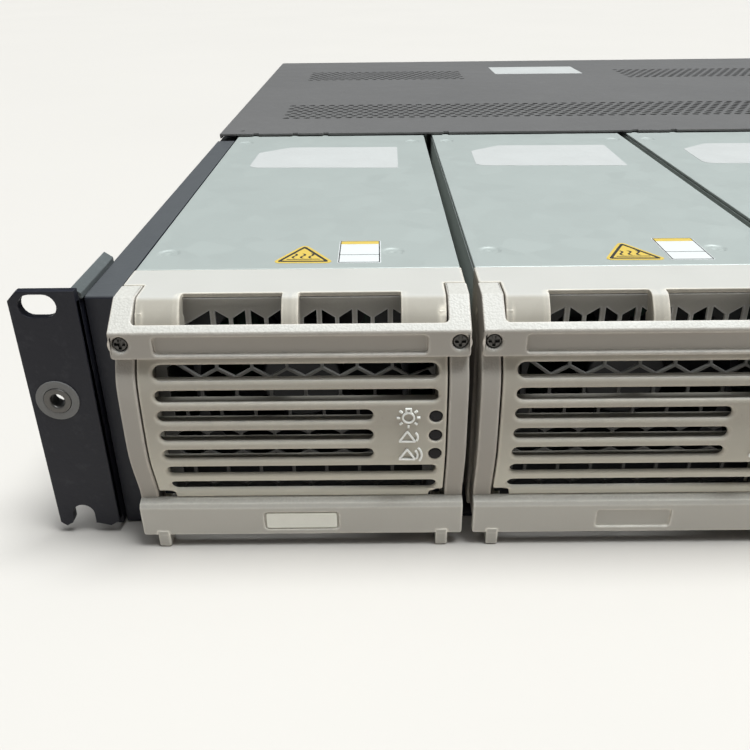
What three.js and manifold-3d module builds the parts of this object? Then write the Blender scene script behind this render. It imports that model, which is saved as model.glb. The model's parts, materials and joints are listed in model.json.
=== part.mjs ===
// 2U rack power shelf with four hot-swap rectifier modules.
// Millimetres, +X right, +Y towards the rear, +Z up. Drawn from the front plane of the
// rack ears (y = 0) and shifted at the end so the origin is the bottom centre of the box.
import * as THREE from 'three';
import { mergeVertices } from 'three/addons/utils/BufferGeometryUtils.js';
import Module from 'manifold-3d';

const wasm = await Module();
wasm.setup();

// ---- driving dimensions -------------------------------------------------------------
const PANEL_W = 482.6;        // across the rack ears
const BODY_W = 442;           // across the side walls
const SHEET = 1.5;            // shelf sheet thickness
const EAR_T = 2.8, EAR_Z0 = 2.4, EAR_TOP = 86.6, EAR_LEG = 34;
const SLOT_X = 232.9, SLOT_Z = 81.9, SLOT_W = 11.0, SLOT_H = 7.2;
const NOTCH_Z = 7.4, NOTCH_R = 3.5;
const JACK_X = -232.9, JACK_Z = 50.9;
const SIDE_TOP = 83.0;        // top of the side walls' flanges
const SIDE_FRONT = 5.2;       // the side walls sit behind the ears' plane
const FLANGE_W = 9.3;
const COVER_TOP = 85.8, COVER_FRONT = 233.5, BODY_REAR = 567.4;
const GAP = 0.3;

const BAYS = 4, PITCH = 106.4;
const MOD_W = 103, MOD_TOP = 84.05, MOD_REAR = 300;
const BEZEL_REAR = 23.6, CASE_FRONT = 23.9;
const LEG_IN = 45.05;         // inner face of the handle's legs, from the module's centre
const NOSE_HALF = 44.75;      // half width of the bezel between the legs
const ARM_END = 10.6;         // rear end of the handle's top arms
const SHOULDER = 10.9;        // front of the bezel's full-width rear frame
const BAR_Y = -8.8, BAR_T = 2.9, BAR_Z0 = 68.8, BAR_Z1 = 77.05;
const PIVOT_Y = 1.5, PIVOT_Z = 14;
const SCREW_X = 48.45, SCREW_Z = 73.4;
const SLOTS_Z = [63.5, 56.7, 50.0, 43.2, 36.4, 29.5, 22.5];  // centre heights
const SLOT_HALF_H = 1.8, SLOT_X0 = -40.9, SLOT_X1 = 42.9, SLOT_X1_SHORT = 23.4;
const LED_X = 42.0, LED_R = 2.0;
const WINDOWS = [[-32.0, -2.7], [2.2, 31.7]];
const FAN = 70, FAN_Y0 = 16.9, FAN_Y1 = 41.9, FAN_Z = 46.5;
const BOARD_Z = 20;
const BACKPLANE_Y = 312;
const REAR_END = 583.5, FRONT_END = -9.5;

// front outline of the legs and the grille, (y, z) from the top down
const FACE = [[-5.7, 68.4], [-7.3, 64.8], [-8.8, 60.4], [-9.5, 55.5],
  [-9.5, 38.5], [-8.6, 32.4], [-6.4, 24.8], [-5.2, 20.6]];

// ---- helpers ------------------------------------------------------------------------
function solid(geo) {
  const g = geo.clone();
  g.deleteAttribute('normal');
  if (g.getAttribute('uv')) g.deleteAttribute('uv');
  const m = mergeVertices(g, 1e-4);
  return new wasm.Manifold(new wasm.Mesh({
    numProp: 3,
    vertProperties: new Float32Array(m.getAttribute('position').array),
    triVerts: new Uint32Array(m.index.array),
  }));
}
function geometry(man) {
  const mesh = man.getMesh();
  const g = new THREE.BufferGeometry();
  g.setAttribute('position', new THREE.BufferAttribute(new Float32Array(mesh.vertProperties), 3));
  g.setIndex(new THREE.BufferAttribute(new Uint32Array(mesh.triVerts), 1));
  g.computeVertexNormals();
  return g;
}
const box = (x0, x1, y0, y1, z0, z1) => solid(
  new THREE.BoxGeometry(x1 - x0, y1 - y0, z1 - z0).translate((x0 + x1) / 2, (y0 + y1) / 2, (z0 + z1) / 2));
function shapeOf(points, holes = []) {
  const s = new THREE.Shape(points.map(([a, b]) => new THREE.Vector2(a, b)));
  for (const h of holes) s.holes.push(new THREE.Path(h.map(([a, b]) => new THREE.Vector2(a, b))));
  return s;
}
function prism(points, a0, a1, holes) {
  const g = new THREE.ExtrudeGeometry(shapeOf(points, holes), { depth: a1 - a0, bevelEnabled: false, steps: 1 });
  g.translate(0, 0, a0);
  return g;
}
const M_X = new THREE.Matrix4().set(0, 0, 1, 0, 1, 0, 0, 0, 0, 1, 0, 0, 0, 0, 0, 1);   // (a,b,c) -> x=c, y=a, z=b
const M_Y = new THREE.Matrix4().set(1, 0, 0, 0, 0, 0, -1, 0, 0, 1, 0, 0, 0, 0, 0, 1);  // (a,b,c) -> x=a, y=-c, z=b
const prismX = (p, x0, x1, holes) => solid(prism(p, x0, x1, holes).applyMatrix4(M_X));          // p in (y, z)
const prismY = (p, y0, y1, holes) => solid(prism(p, -y1, -y0, holes).applyMatrix4(M_Y));        // p in (x, z)
const prismZ = (p, z0, z1, holes) => solid(prism(p, z0, z1, holes));                            // p in (x, y)
function ring(cx, cy, r, n, a0 = 0) {
  const p = [];
  for (let i = 0; i < n; i++) {
    const a = a0 + (2 * Math.PI * i) / n;
    p.push([cx + r * Math.cos(a), cy + r * Math.sin(a)]);
  }
  return p;
}
const cylX = (cy, cz, r, x0, x1, n = 16) => prismX(ring(cy, cz, r, n), x0, x1);
const cylY = (cx, cz, r, y0, y1, n = 16) => prismY(ring(cx, cz, r, n), y0, y1);
function obround(x0, x1, z, h, n = 4) {          // horizontal slot outline, ends of radius h
  const p = [];
  for (let i = 0; i <= n; i++) { const a = Math.PI / 2 + (Math.PI * i) / n; p.push([x0 + h + h * Math.cos(a), z + h * Math.sin(a)]); }
  for (let i = 0; i <= n; i++) { const a = -Math.PI / 2 + (Math.PI * i) / n; p.push([x1 - h + h * Math.cos(a), z + h * Math.sin(a)]); }
  return p;
}
const union = (list) => list.reduce((a, b) => a.add(b));
const cut = (a, list) => list.reduce((m, b) => m.subtract(b), a);

const root = new THREE.Group();
const finish = {
  black: { color: 0x2c2d33, roughness: 0.5, metalness: 0.1 },
  grey: { color: 0x6c6d70, roughness: 0.55, metalness: 0.1 },
  zinc: { color: 0xc0c8c6, roughness: 0.4, metalness: 0.85 },
  bezel: { color: 0xc9c6bd, roughness: 0.55, metalness: 0 },
  handle: { color: 0xc6c3ba, roughness: 0.6, metalness: 0 },
  screw: { color: 0x8d8d88, roughness: 0.35, metalness: 0.9 },
  guard: { color: 0x9b9a97, roughness: 0.5, metalness: 0.6 },
  fan: { color: 0x1d1d1f, roughness: 0.5, metalness: 0 },
  board: { color: 0x2d5a3c, roughness: 0.6, metalness: 0 },
  copper: { color: 0xb87a4b, roughness: 0.35, metalness: 0.9 },
  plastic: { color: 0x242427, roughness: 0.5, metalness: 0 },
};
function add(group, name, man, key) {
  const mesh = new THREE.Mesh(geometry(man), new THREE.MeshStandardMaterial(finish[key]));
  mesh.name = name;
  group.add(mesh);
}

// ---- shelf --------------------------------------------------------------------------
const HALF = BODY_W / 2;
const shelf = new THREE.Group();
root.add(shelf);

// floor of the shelf, with a bay at each ejector hook so the hook can swing in
let tray = box(-HALF + SHEET + GAP, HALF - SHEET - GAP, 7.0, BODY_REAR - SHEET - GAP, 0, SHEET);
const hookBays = [];
for (let n = 0; n < BAYS; n++) {
  const cx = (n - (BAYS - 1) / 2) * PITCH;
  for (const s of [-45, 45]) hookBays.push(box(cx + s - 4, cx + s + 4, 0, 17, -1, SHEET + 1));
}
tray = cut(tray, hookBays);
add(shelf, 'base_tray', tray, 'black');

function sideWall(s) {
  // plate with a front flange and a top flange, one folded sheet
  const x0 = s < 0 ? -HALF : HALF - SHEET, x1 = x0 + SHEET;
  const plate = box(x0, x1, SIDE_FRONT, BODY_REAR, 0, SIDE_TOP);
  const fx0 = s < 0 ? -HALF : HALF - FLANGE_W, fx1 = fx0 + FLANGE_W;
  const front = box(fx0, fx1, SIDE_FRONT, SIDE_FRONT + SHEET, 0, SIDE_TOP);
  const top = box(fx0, fx1, SIDE_FRONT, BODY_REAR, SIDE_TOP - SHEET, SIDE_TOP);
  return union([plate, front, top]);
}
add(shelf, 'side_wall_left', sideWall(-1), 'black');
add(shelf, 'side_wall_right', sideWall(1), 'black');

// rear cover: a shallow lid with two bands of vents
const lidIn = HALF - 0.4;
let lid = prismX([[COVER_FRONT, COVER_TOP - 1.2], [BODY_REAR, COVER_TOP - 1.2], [BODY_REAR, COVER_TOP], [COVER_FRONT, COVER_TOP]], -lidIn, lidIn);
lid = union([lid,
  box(-lidIn, -lidIn + 1.2, COVER_FRONT, BODY_REAR, SIDE_TOP + GAP, COVER_TOP),
  box(lidIn - 1.2, lidIn, COVER_FRONT, BODY_REAR, SIDE_TOP + GAP, COVER_TOP)]);
const vents = [];
for (let i = 0; i < 12; i++) {
  const x = -190 + i * 34.5;
  if (x > 185) continue;
  vents.push(box(x - 13, x + 13, 284, 292, 80, 90), box(x - 13, x + 13, 312, 320, 80, 90));
}
lid = cut(lid, vents);
add(shelf, 'rear_top_cover', lid, 'grey');

// rear panel with openings for the terminals and the ground stud
let back = box(-HALF + SHEET + GAP, HALF - SHEET - GAP, BODY_REAR - SHEET, BODY_REAR, GAP, SIDE_TOP - SHEET - GAP);
const rearVents = [];
for (let i = 0; i < 8; i++) rearVents.push(box(-80 + i * 18, -80 + i * 18 + 10, 560, 570, 18, 66));
back = cut(back, [box(-185.3, -114.7, 560, 570, 19.7, 60.3), box(94.7, 170.3, 560, 570, 17.7, 72.3),
  cylY(200, 20, 3.4, 560, 570, 12), ...rearVents]);
add(shelf, 'rear_panel', back, 'black');

// rack ears: a flat plate in front and a leg that runs back along the side wall
function ear(s) {
  const xo = (s * PANEL_W) / 2, xi = s * (HALF + GAP);
  const c = 3.0, b = 1.8;
  const nx = s * SLOT_X;
  // outline in (x, z), left-hand version mirrored by s
  const out = [[xo, EAR_Z0 + 1.6], [xo, EAR_TOP - c], [xo - s * c, EAR_TOP], [xi, EAR_TOP], [xi, EAR_Z0 + b], [xi - s * 0 + s * 3.2, EAR_Z0],
    [nx - s * 3.4 , EAR_Z0 + 1.2], [nx - s * NOTCH_R, EAR_Z0 + 3.0]];
  for (let i = 0; i <= 6; i++) { const a = (Math.PI * i) / 6; out.push([nx - s * NOTCH_R * Math.cos(a), NOTCH_Z + NOTCH_R * Math.sin(a)]); }
  out.push([nx + s * NOTCH_R, EAR_Z0 + 3.0], [nx + s * (NOTCH_R + 0.9), EAR_Z0 + 1.2], [xo - s * 1.9, EAR_Z0]);
  let plate = prismY(out, 0, EAR_T, [obround(nx - SLOT_W / 2, nx + SLOT_W / 2, SLOT_Z, SLOT_H / 2, 5)]);
  if (s < 0) plate = plate.subtract(cylY(JACK_X, JACK_Z, 4.6, -1, EAR_T + 1, 16));
  const lx = s < 0 ? [-HALF - GAP - EAR_T, -HALF - GAP] : [HALF + GAP, HALF + GAP + EAR_T];
  let leg = box(lx[0], lx[1], 0, EAR_LEG, EAR_Z0 + b, EAR_TOP);
  return union([plate, leg]);
}
add(shelf, 'rack_ear_left', ear(-1), 'black');
add(shelf, 'rack_ear_right', ear(1), 'black');

// wrist-strap socket in the left ear: a turned ring with a 4 mm bore
{
  const prof = [[2.1, -1.1], [4.2, -1.1], [4.2, -0.7], [6.6, -0.7], [6.6, -0.3], [4.2, -0.3], [4.2, 13], [2.1, 13], [2.1, -1.1]]
    .map(([r, a]) => new THREE.Vector2(r, a));
  const j = solid(new THREE.LatheGeometry(prof, 14));
  add(shelf, 'esd_jack', j.translate([JACK_X, 0, JACK_Z]), 'screw');
}

// guide rails between the bays
for (let k = 0; k < BAYS - 1; k++) {
  const x = (k - (BAYS - 2) / 2) * PITCH;
  add(shelf, `guide_rail_${k + 1}`, union([box(x - 0.6, x + 0.6, 30, 296, SHEET + GAP, 22)]), 'black');
}

// backplane board with its soldered edge sockets, one for each bay
const boardHoles = [], sockets = [];
for (let n = 0; n < BAYS; n++) {
  const cx = (n - (BAYS - 1) / 2) * PITCH;
  boardHoles.push(box(cx - 34, cx + 34, 300, 330, 44, 70));
  sockets.push(box(cx - 30, cx + 30, 302, BACKPLANE_Y + 0.5, 13, 29).subtract(box(cx - 26, cx + 26, 300, 310, BOARD_Z - 0.8, BOARD_Z + 2.4)));
}
add(shelf, 'backplane_board', union([cut(box(-212, 212, BACKPLANE_Y, BACKPLANE_Y + 2.4, 8, 78), boardHoles), ...sockets]), 'board');

// bus bars: behind the backplane, then to the output tabs at the rear
const bar = (xTurn, y, z0, z1) => prismZ([[-190, y], [xTurn - 3, y], [xTurn - 3, REAR_END], [xTurn, REAR_END], [xTurn, y - 3], [-190, y - 3]], z0, z1);
const tab = (xTurn, z) => cylX(REAR_END - 7, z, 3.2, xTurn - 6, xTurn + 3, 12);
add(shelf, 'busbar_positive', bar(154, 324, 48, 66).subtract(tab(154, 57)), 'copper');
add(shelf, 'busbar_negative', bar(112, 334, 24, 42).subtract(tab(112, 33)), 'copper');
add(shelf, 'dc_terminal_block', cut(box(95, 170, 552, 573, 18, 72),
  [box(150.4, 154.6, 540, 580, 47.4, 66.6), box(108.4, 112.6, 540, 580, 23.4, 42.6)]), 'plastic');
const acCells = [];
for (let i = 0; i < 4; i++) acCells.push(box(-181 + i * 17, -181 + i * 17 + 13, 566, 580, 24, 62));
add(shelf, 'ac_terminal_block', cut(box(-185, -115, 545, 575, 20, 60), acCells), 'plastic');
add(shelf, 'ground_stud', union([cylY(200, 20, 3.0, 560, 579, 12), cylY(200, 20, 5.5, 559, BODY_REAR - SHEET - GAP, 6)]), 'screw');

// ---- one rectifier module, drawn about its own centre line ---------------------------
// Bezel: moulded front with a rolled top edge, a crowned grille and a full-width rear frame.
const ROLL_R = 6.0, ROLL_Y = 0.6;
function noseOutline(t) {
  // (y, z) outline of the nose, set back by the wall t
  const p = [[SHOULDER + 1, MOD_TOP - t]];
  for (let i = 0; i <= 4; i++) { const a = (Math.PI / 2) * (i / 4); p.push([ROLL_Y - (ROLL_R - t) * Math.sin(a), MOD_TOP - ROLL_R + (ROLL_R - t) * Math.cos(a)]); }
  p.push([ROLL_Y - ROLL_R + t, 68.7]);
  for (const [y, z] of FACE) p.push([y + t, z]);
  p.push([-5.0 + t, 18.4 + t], [SHOULDER + 1, 18.4 + t]);
  return p;
}
function bezel() {
  const W = 2.0, half = MOD_W / 2;
  let nose = prismX(noseOutline(0), -NOSE_HALF, NOSE_HALF);
  // hinge lugs reach down behind the handle's bottom bar
  const lug = (x0, x1) => union([prismX([[-2.4, 14], [-2.4, 20], [6, 20], [5.0, 14]], x0, x1), cylX(PIVOT_Y, PIVOT_Z, 3.9, x0, x1, 14)]);
  nose = union([nose, lug(-NOSE_HALF, -NOSE_HALF + W), lug(NOSE_HALF - W, NOSE_HALF)]);
  const rear = box(-half, half, SHOULDER, BEZEL_REAR, 2.1, MOD_TOP);
  let b = nose.add(rear);
  const inner = noseOutline(W); inner[0][0] = BEZEL_REAR + 5; inner[inner.length - 1][0] = BEZEL_REAR + 5;
  const rearIn = box(-half + W, half - W, SHOULDER + W + 3.5, BEZEL_REAR + 1, 4.1, MOD_TOP - W);
  const mouth = box(-NOSE_HALF + W, NOSE_HALF - W, SHOULDER - 2, BEZEL_REAR, 18.4 + W, MOD_TOP - W);
  const pit = [];
  for (const s of [-1, 1]) pit.push(cylX(PIVOT_Y, PIVOT_Z, 1.8, s * NOSE_HALF - 3, s * NOSE_HALF + 3, 10), cylY(s * SCREW_X, SCREW_Z, 2.6, SHOULDER - 1, SHOULDER + 4, 10));
  const grille = SLOTS_Z.map((z, i) => prismY(obround(SLOT_X0, i >= 2 && i <= 4 ? SLOT_X1_SHORT : SLOT_X1, z, SLOT_HALF_H, 3), -12, 2));
  const leds = SLOTS_Z.slice(2, 5).map((z, i) => cylY(LED_X, [49.4, 42.8, 36.2][i], LED_R, -12, 2, 6));
  const win = WINDOWS.map(([a, c]) => box(a, c, -8, 3.8, 69.0, 90));
  return cut(b, [prismX(inner, -NOSE_HALF + W, NOSE_HALF - W), rearIn, mouth, ...pit, ...grille, ...leds, ...win]);
}
const bezelSolid = bezel();

// Handle: one moulded frame, hinged on two stub pins near the bottom.
function handle() {
  const half = MOD_W / 2;
  const side = [[ARM_END, MOD_TOP], [1.5, MOD_TOP], [BAR_Y, BAR_Z1], [BAR_Y, BAR_Z0], ...FACE, [-4.95, 18.2], [-7.4, 16.6], [-8.2, 15.6], [-7.9, 4.8], [-3.4, 4.8], [-3.4, 9.4],
    [PIVOT_Y - 1, 9.6], [PIVOT_Y + 3.5, 12], [PIVOT_Y + 3.5, 16], [0.6, 24], [0.6, 64], [3.5, 70], [ARM_END, 78.6]];
  const legs = [prismX(side, -half, -LEG_IN), prismX(side, LEG_IN, half)];
  const topBar = prismX([[BAR_Y, BAR_Z0], [BAR_Y, BAR_Z1], [BAR_Y + BAR_T * 0.72, BAR_Z1 + 1.35], [BAR_Y + BAR_T, BAR_Z1 + 0.6], [BAR_Y + BAR_T, BAR_Z0]], -half, half);
  const bottomBar = prismX([[-7.9, 4.8], [-8.2, 15.6], [-7.4, 16.6], [-5.2, 17.6], [-3.4, 17.4], [-3.4, 4.8]], -half, half);
  const hooks = [-45, 45].map((x) => prismX([[-4.7, 0.3], [-5.6, 1.8], [-5.6, 6], [-3.6, 6], [-3.6, 4], [-2.0, 2.2], [-2.0, 0.3]], x - 2.2, x + 2.2));
  const pins = [-1, 1].map((s) => cylX(PIVOT_Y, PIVOT_Z, 1.5, s < 0 ? -LEG_IN - 1 : LEG_IN - 3.2, s < 0 ? -LEG_IN + 3.2 : LEG_IN + 1, 10));
  let h = union([...legs, topBar, bottomBar, ...hooks, ...pins]);
  const holes = [];
  for (const s of [-1, 1]) holes.push(cylY(s * SCREW_X, SCREW_Z, 2.9, BAR_Y - 1, BAR_Y + 2.2, 10), cylY(s * SCREW_X, SCREW_Z, 2.0, BAR_Y - 1, 14, 8));
  holes.push(box(-39.3, 39.4, BAR_Y - 1, BAR_Y + 0.9, 69.9, 75.9), box(-11.7, 11.7, -12, -7.5, 6.8, 13.5));
  return cut(h, holes);
}
const handleSolid = handle();

// Captive screw: recessed head with a cross slot, long shank, plain tip.
function screw() {
  const head = cylY(0, 0, 2.5, BAR_Y + 0.35, BAR_Y + 1.9, 10);
  const shank = cylY(0, 0, 1.5, BAR_Y + 1.5, SHOULDER + 2.3, 6);
  return cut(head.add(shank), [box(-0.4, 0.4, BAR_Y, BAR_Y + 1.0, -1.6, 1.6), box(-1.6, 1.6, BAR_Y, BAR_Y + 1.0, -0.4, 0.4)]);
}
const screwSolid = screw();

// Honeycomb guard, a flat sheet behind the grille
function guard() {
  const holes = [];
  const p = 14.2, hw = p / 2 - 0.8, side = 4.4, apex = 7.6;
  for (let r = 0; r < 4; r++) {
    for (let c = -3; c <= 3; c++) {
      const x = c * p + (r % 2 ? p / 2 : 0), z = 72 - r * 13.2 - 2;
      if (Math.abs(x) > 36) continue;
      holes.push([[x, z + apex], [x - hw, z + side], [x - hw, z - side], [x, z - apex], [x + hw, z - side], [x + hw, z + side]]);
    }
  }
  return prismY([[-42.3, 21], [42.3, 21], [42.3, 81.6], [-42.3, 81.6]], 7.3, 8.3, holes);
}
const guardSolid = guard();

// Fan: square frame with a hub post on struts, and a rotor that runs on the post
function fanFrame() {
  const h = FAN / 2;
  const c = 5;
  const outer = [[-h, -h + c], [-h + c, -h], [h - c, -h], [h, -h + c], [h, h - c], [h - c, h], [-h + c, h], [-h, h - c]];
  let f = prismY(outer, FAN_Y0, FAN_Y1, [ring(0, 0, 33, 16)]);
  const struts = [0, 1, 2, 3].map((k) => {
    const a = (Math.PI / 2) * k + Math.PI / 4, ca = Math.cos(a), sa = Math.sin(a), w = 1.6;
    return prismY([[12 * ca - w * sa, 12 * sa + w * ca], [34 * ca - w * sa, 34 * sa + w * ca], [34 * ca + w * sa, 34 * sa - w * ca], [12 * ca + w * sa, 12 * sa - w * ca]], FAN_Y1 - 3, FAN_Y1);
  });
  f = union([f, ...struts, cylY(0, 0, 14, FAN_Y1 - 3, FAN_Y1, 12), cylY(0, 0, 2.2, FAN_Y0 + 8, FAN_Y1 - 1, 10)]);
  return f;
}
function fanRotor() {
  const hub = cylY(0, 0, 13.5, FAN_Y0 + 2, FAN_Y1 - 4, 12);
  const blades = [];
  for (let k = 0; k < 7; k++) {
    const g = new THREE.BoxGeometry(20, 1.4, 20).applyMatrix4(new THREE.Matrix4().makeRotationX(-0.85)).translate(21.5, (FAN_Y0 + FAN_Y1) / 2 - 1, 0)
      .applyMatrix4(new THREE.Matrix4().makeRotationY((2 * Math.PI * k) / 7));
    blades.push(solid(g));
  }
  let r = union([hub, ...blades]);
  r = r.intersect(cylY(0, 0, 31.6, FAN_Y0 + 1, FAN_Y1 - 3.5, 14));
  return r.subtract(cylY(0, 0, 2.5, FAN_Y0 + 6, FAN_Y1, 10));
}
const fanFrameSolid = fanFrame(), fanRotorSolid = fanRotor();

// Case: folded tub with a rear wall; lid on top
function caseTub() {
  const half = MOD_W / 2 - 0.3, t = 1.0;
  let c = box(-half, half, CASE_FRONT, MOD_REAR, 1.8, MOD_TOP - 1.4);
  c = c.subtract(box(-half + t, half - t, CASE_FRONT - 1, MOD_REAR - t, 1.8 + t, 95));
  return cut(c, [box(-28, 28, MOD_REAR - 5, MOD_REAR + 5, BOARD_Z - 4, BOARD_Z + 6), ...[0, 1, 2, 3].map((i) => box(-40, 40, MOD_REAR - 5, MOD_REAR + 5, 36 + i * 10, 41 + i * 10))]);
}
function caseLid() {
  const half = MOD_W / 2 - 0.3;
  const plate = box(-half, half, CASE_FRONT, MOD_REAR, MOD_TOP - 1.05, MOD_TOP - 0.05);
  return union([plate, box(-half + 1.4, -half + 2.4, CASE_FRONT + 3, MOD_REAR - 3, MOD_TOP - 8, MOD_TOP - 0.5), box(half - 2.4, half - 1.4, CASE_FRONT + 3, MOD_REAR - 3, MOD_TOP - 8, MOD_TOP - 0.5)]);
}
function powerBoard() {
  const pcb = box(-46, 46, 46, MOD_REAR - 6, BOARD_Z, BOARD_Z + 1.6);
  const tongue = box(-24, 24, MOD_REAR - 8, 309, BOARD_Z, BOARD_Z + 1.6);
  const fins = [0, 1, 2, 3, 4].map((i) => box(-40 + i * 6, -38 + i * 6, 110, 250, BOARD_Z + 4, 62));
  return union([pcb, tongue,
    box(-42, -12, 110, 250, BOARD_Z + 1, BOARD_Z + 6), ...fins,
    box(-2, 40, 60, 104, BOARD_Z + 1, 64), box(0, 38, 116, 160, BOARD_Z + 1, 58), box(4, 40, 172, 208, BOARD_Z + 1, 50),
    prismZ(ring(-26, 66, 14, 12), BOARD_Z + 1, 70), prismZ(ring(-26, 96, 12, 12), BOARD_Z + 1, 66),
    box(-2, 42, 222, 280, BOARD_Z + 1, 40)]);
}
const tubSolid = caseTub(), lidSolid = caseLid(), boardSolid = powerBoard();

for (let n = 0; n < BAYS; n++) {
  const m = new THREE.Group();
  m.position.x = (n - (BAYS - 1) / 2) * PITCH;
  root.add(m);
  const name = `module_${n + 1}_`;
  add(m, name + 'case', tubSolid, 'zinc');
  add(m, name + 'cover', lidSolid, 'zinc');
  add(m, name + 'bezel', bezelSolid, 'bezel');
  add(m, name + 'handle', handleSolid, 'handle');
  for (const [s, w] of [[-1, 'left'], [1, 'right']]) add(m, `${name}screw_${w}`, screwSolid.translate([s * SCREW_X, 0, SCREW_Z]), 'screw');
  add(m, name + 'fan_guard', guardSolid, 'guard');
  add(m, name + 'fan_frame', fanFrameSolid.translate([0, 0, FAN_Z]), 'fan');
  add(m, name + 'fan_rotor', fanRotorSolid.translate([0, 0, FAN_Z]), 'fan');
  add(m, name + 'power_board', boardSolid, 'board');
}

root.position.y = -(FRONT_END + REAR_END) / 2;
root.updateMatrixWorld(true);
export default root;
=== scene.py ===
import json
import math

import bmesh
import bpy
from mathutils import Matrix, Vector, geometry

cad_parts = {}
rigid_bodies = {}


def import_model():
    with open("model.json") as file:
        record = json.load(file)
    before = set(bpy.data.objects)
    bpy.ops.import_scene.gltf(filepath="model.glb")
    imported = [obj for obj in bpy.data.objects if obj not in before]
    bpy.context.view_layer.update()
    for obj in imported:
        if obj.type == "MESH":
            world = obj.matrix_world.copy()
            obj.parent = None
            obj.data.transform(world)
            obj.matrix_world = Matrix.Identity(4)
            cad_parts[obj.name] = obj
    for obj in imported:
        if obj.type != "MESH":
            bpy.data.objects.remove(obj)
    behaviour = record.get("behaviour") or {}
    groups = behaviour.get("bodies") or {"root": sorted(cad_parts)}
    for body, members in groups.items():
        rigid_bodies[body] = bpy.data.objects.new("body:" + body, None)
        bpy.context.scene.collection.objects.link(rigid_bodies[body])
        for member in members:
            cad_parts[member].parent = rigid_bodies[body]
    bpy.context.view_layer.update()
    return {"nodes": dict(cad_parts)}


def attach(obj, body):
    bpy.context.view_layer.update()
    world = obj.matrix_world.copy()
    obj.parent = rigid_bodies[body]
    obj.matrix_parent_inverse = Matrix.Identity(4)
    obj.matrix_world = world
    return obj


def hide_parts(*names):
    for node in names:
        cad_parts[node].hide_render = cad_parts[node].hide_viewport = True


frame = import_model()
NODES = frame["nodes"]

MM = 0.001
Y_EARS = -287.0                      # the rack ears' front plane, in the row frame
CENTRES = [-159.6, -53.2, 53.2, 159.6]


# ------------------------------------------------------------------ outlines
def area(p):
    return 0.5 * sum(p[i][0] * p[(i + 1) % len(p)][1] - p[(i + 1) % len(p)][0] * p[i][1] for i in range(len(p)))


def turned(p, left=True):
    return list(p) if (area(p) > 0) == left else list(p)[::-1]


def inset(p, d):
    """Every corner moved by d to the left of the outline's direction, mitred."""
    if abs(d) < 1e-9:
        return list(p)
    n, out = len(p), []
    for i in range(n):
        ax, ay = p[i][0] - p[i - 1][0], p[i][1] - p[i - 1][1]
        bx, by = p[(i + 1) % n][0] - p[i][0], p[(i + 1) % n][1] - p[i][1]
        la, lb = math.hypot(ax, ay) or 1, math.hypot(bx, by) or 1
        n0, n1 = (-ay / la, ax / la), (-by / lb, bx / lb)
        k = max(0.35, 1 + n0[0] * n1[0] + n0[1] * n1[1])
        out.append((p[i][0] + d * (n0[0] + n1[0]) / k, p[i][1] + d * (n0[1] + n1[1]) / k))
    return out


def circle(cx, cy, r, n=24, a0=0.0):
    return [(cx + r * math.cos(a0 + 2 * math.pi * i / n), cy + r * math.sin(a0 + 2 * math.pi * i / n)) for i in range(n)]


def rounded(p, r, steps=4):
    """Corners of an outline rounded; r is one radius or one for each corner."""
    n, out = len(p), []
    rr = r if isinstance(r, (list, tuple)) else [r] * n
    for i in range(n):
        a, b, c = Vector(p[i - 1]), Vector(p[i]), Vector(p[(i + 1) % n])
        u, v = (a - b), (c - b)
        lu, lv = u.length, v.length
        if rr[i] <= 0 or lu < 1e-6 or lv < 1e-6:
            out.append((b.x, b.y))
            continue
        u, v = u / lu, v / lv
        ang = u.angle(v)
        if ang > math.pi - 0.02:
            out.append((b.x, b.y))
            continue
        t = min(rr[i] / math.tan(ang / 2), lu * 0.45, lv * 0.45)
        rad = t * math.tan(ang / 2)
        mid = (u + v).normalized()
        cen = b + mid * (rad / math.sin(ang / 2))
        s, e = b + u * t, b + v * t
        a0, a1 = math.atan2(s.y - cen.y, s.x - cen.x), math.atan2(e.y - cen.y, e.x - cen.x)
        da = (a1 - a0 + math.pi) % (2 * math.pi) - math.pi
        for k in range(steps + 1):
            q = a0 + da * k / steps
            out.append((cen.x + rad * math.cos(q), cen.y + rad * math.sin(q)))
    return out


def fillet_path(p, radii, steps=3):
    """An open path with some corners rounded: radii is {index: radius}."""
    out = []
    for i, q in enumerate(p):
        if i in radii and 0 < i < len(p) - 1:
            a, b, c = Vector(p[i - 1]), Vector(q), Vector(p[i + 1])
            u, v = (a - b).normalized(), (c - b).normalized()
            ang = u.angle(v)
            t = radii[i] / math.tan(ang / 2)
            cen = b + (u + v).normalized() * (radii[i] / math.sin(ang / 2))
            s, e = b + u * t, b + v * t
            a0, a1 = math.atan2(s.y - cen.y, s.x - cen.x), math.atan2(e.y - cen.y, e.x - cen.x)
            da = (a1 - a0 + math.pi) % (2 * math.pi) - math.pi
            out += [(cen.x + radii[i] * math.cos(a0 + da * k / steps), cen.y + radii[i] * math.sin(a0 + da * k / steps)) for k in range(steps + 1)]
        else:
            out.append(tuple(q))
    return out


def slot_loop(x0, x1, z, h, n=8):
    p = []
    for i in range(n + 1):
        a = math.pi / 2 + math.pi * i / n
        p.append((x0 + h + h * math.cos(a), z + h * math.sin(a)))
    for i in range(n + 1):
        a = -math.pi / 2 + math.pi * i / n
        p.append((x1 - h + h * math.cos(a), z + h * math.sin(a)))
    return p


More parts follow.
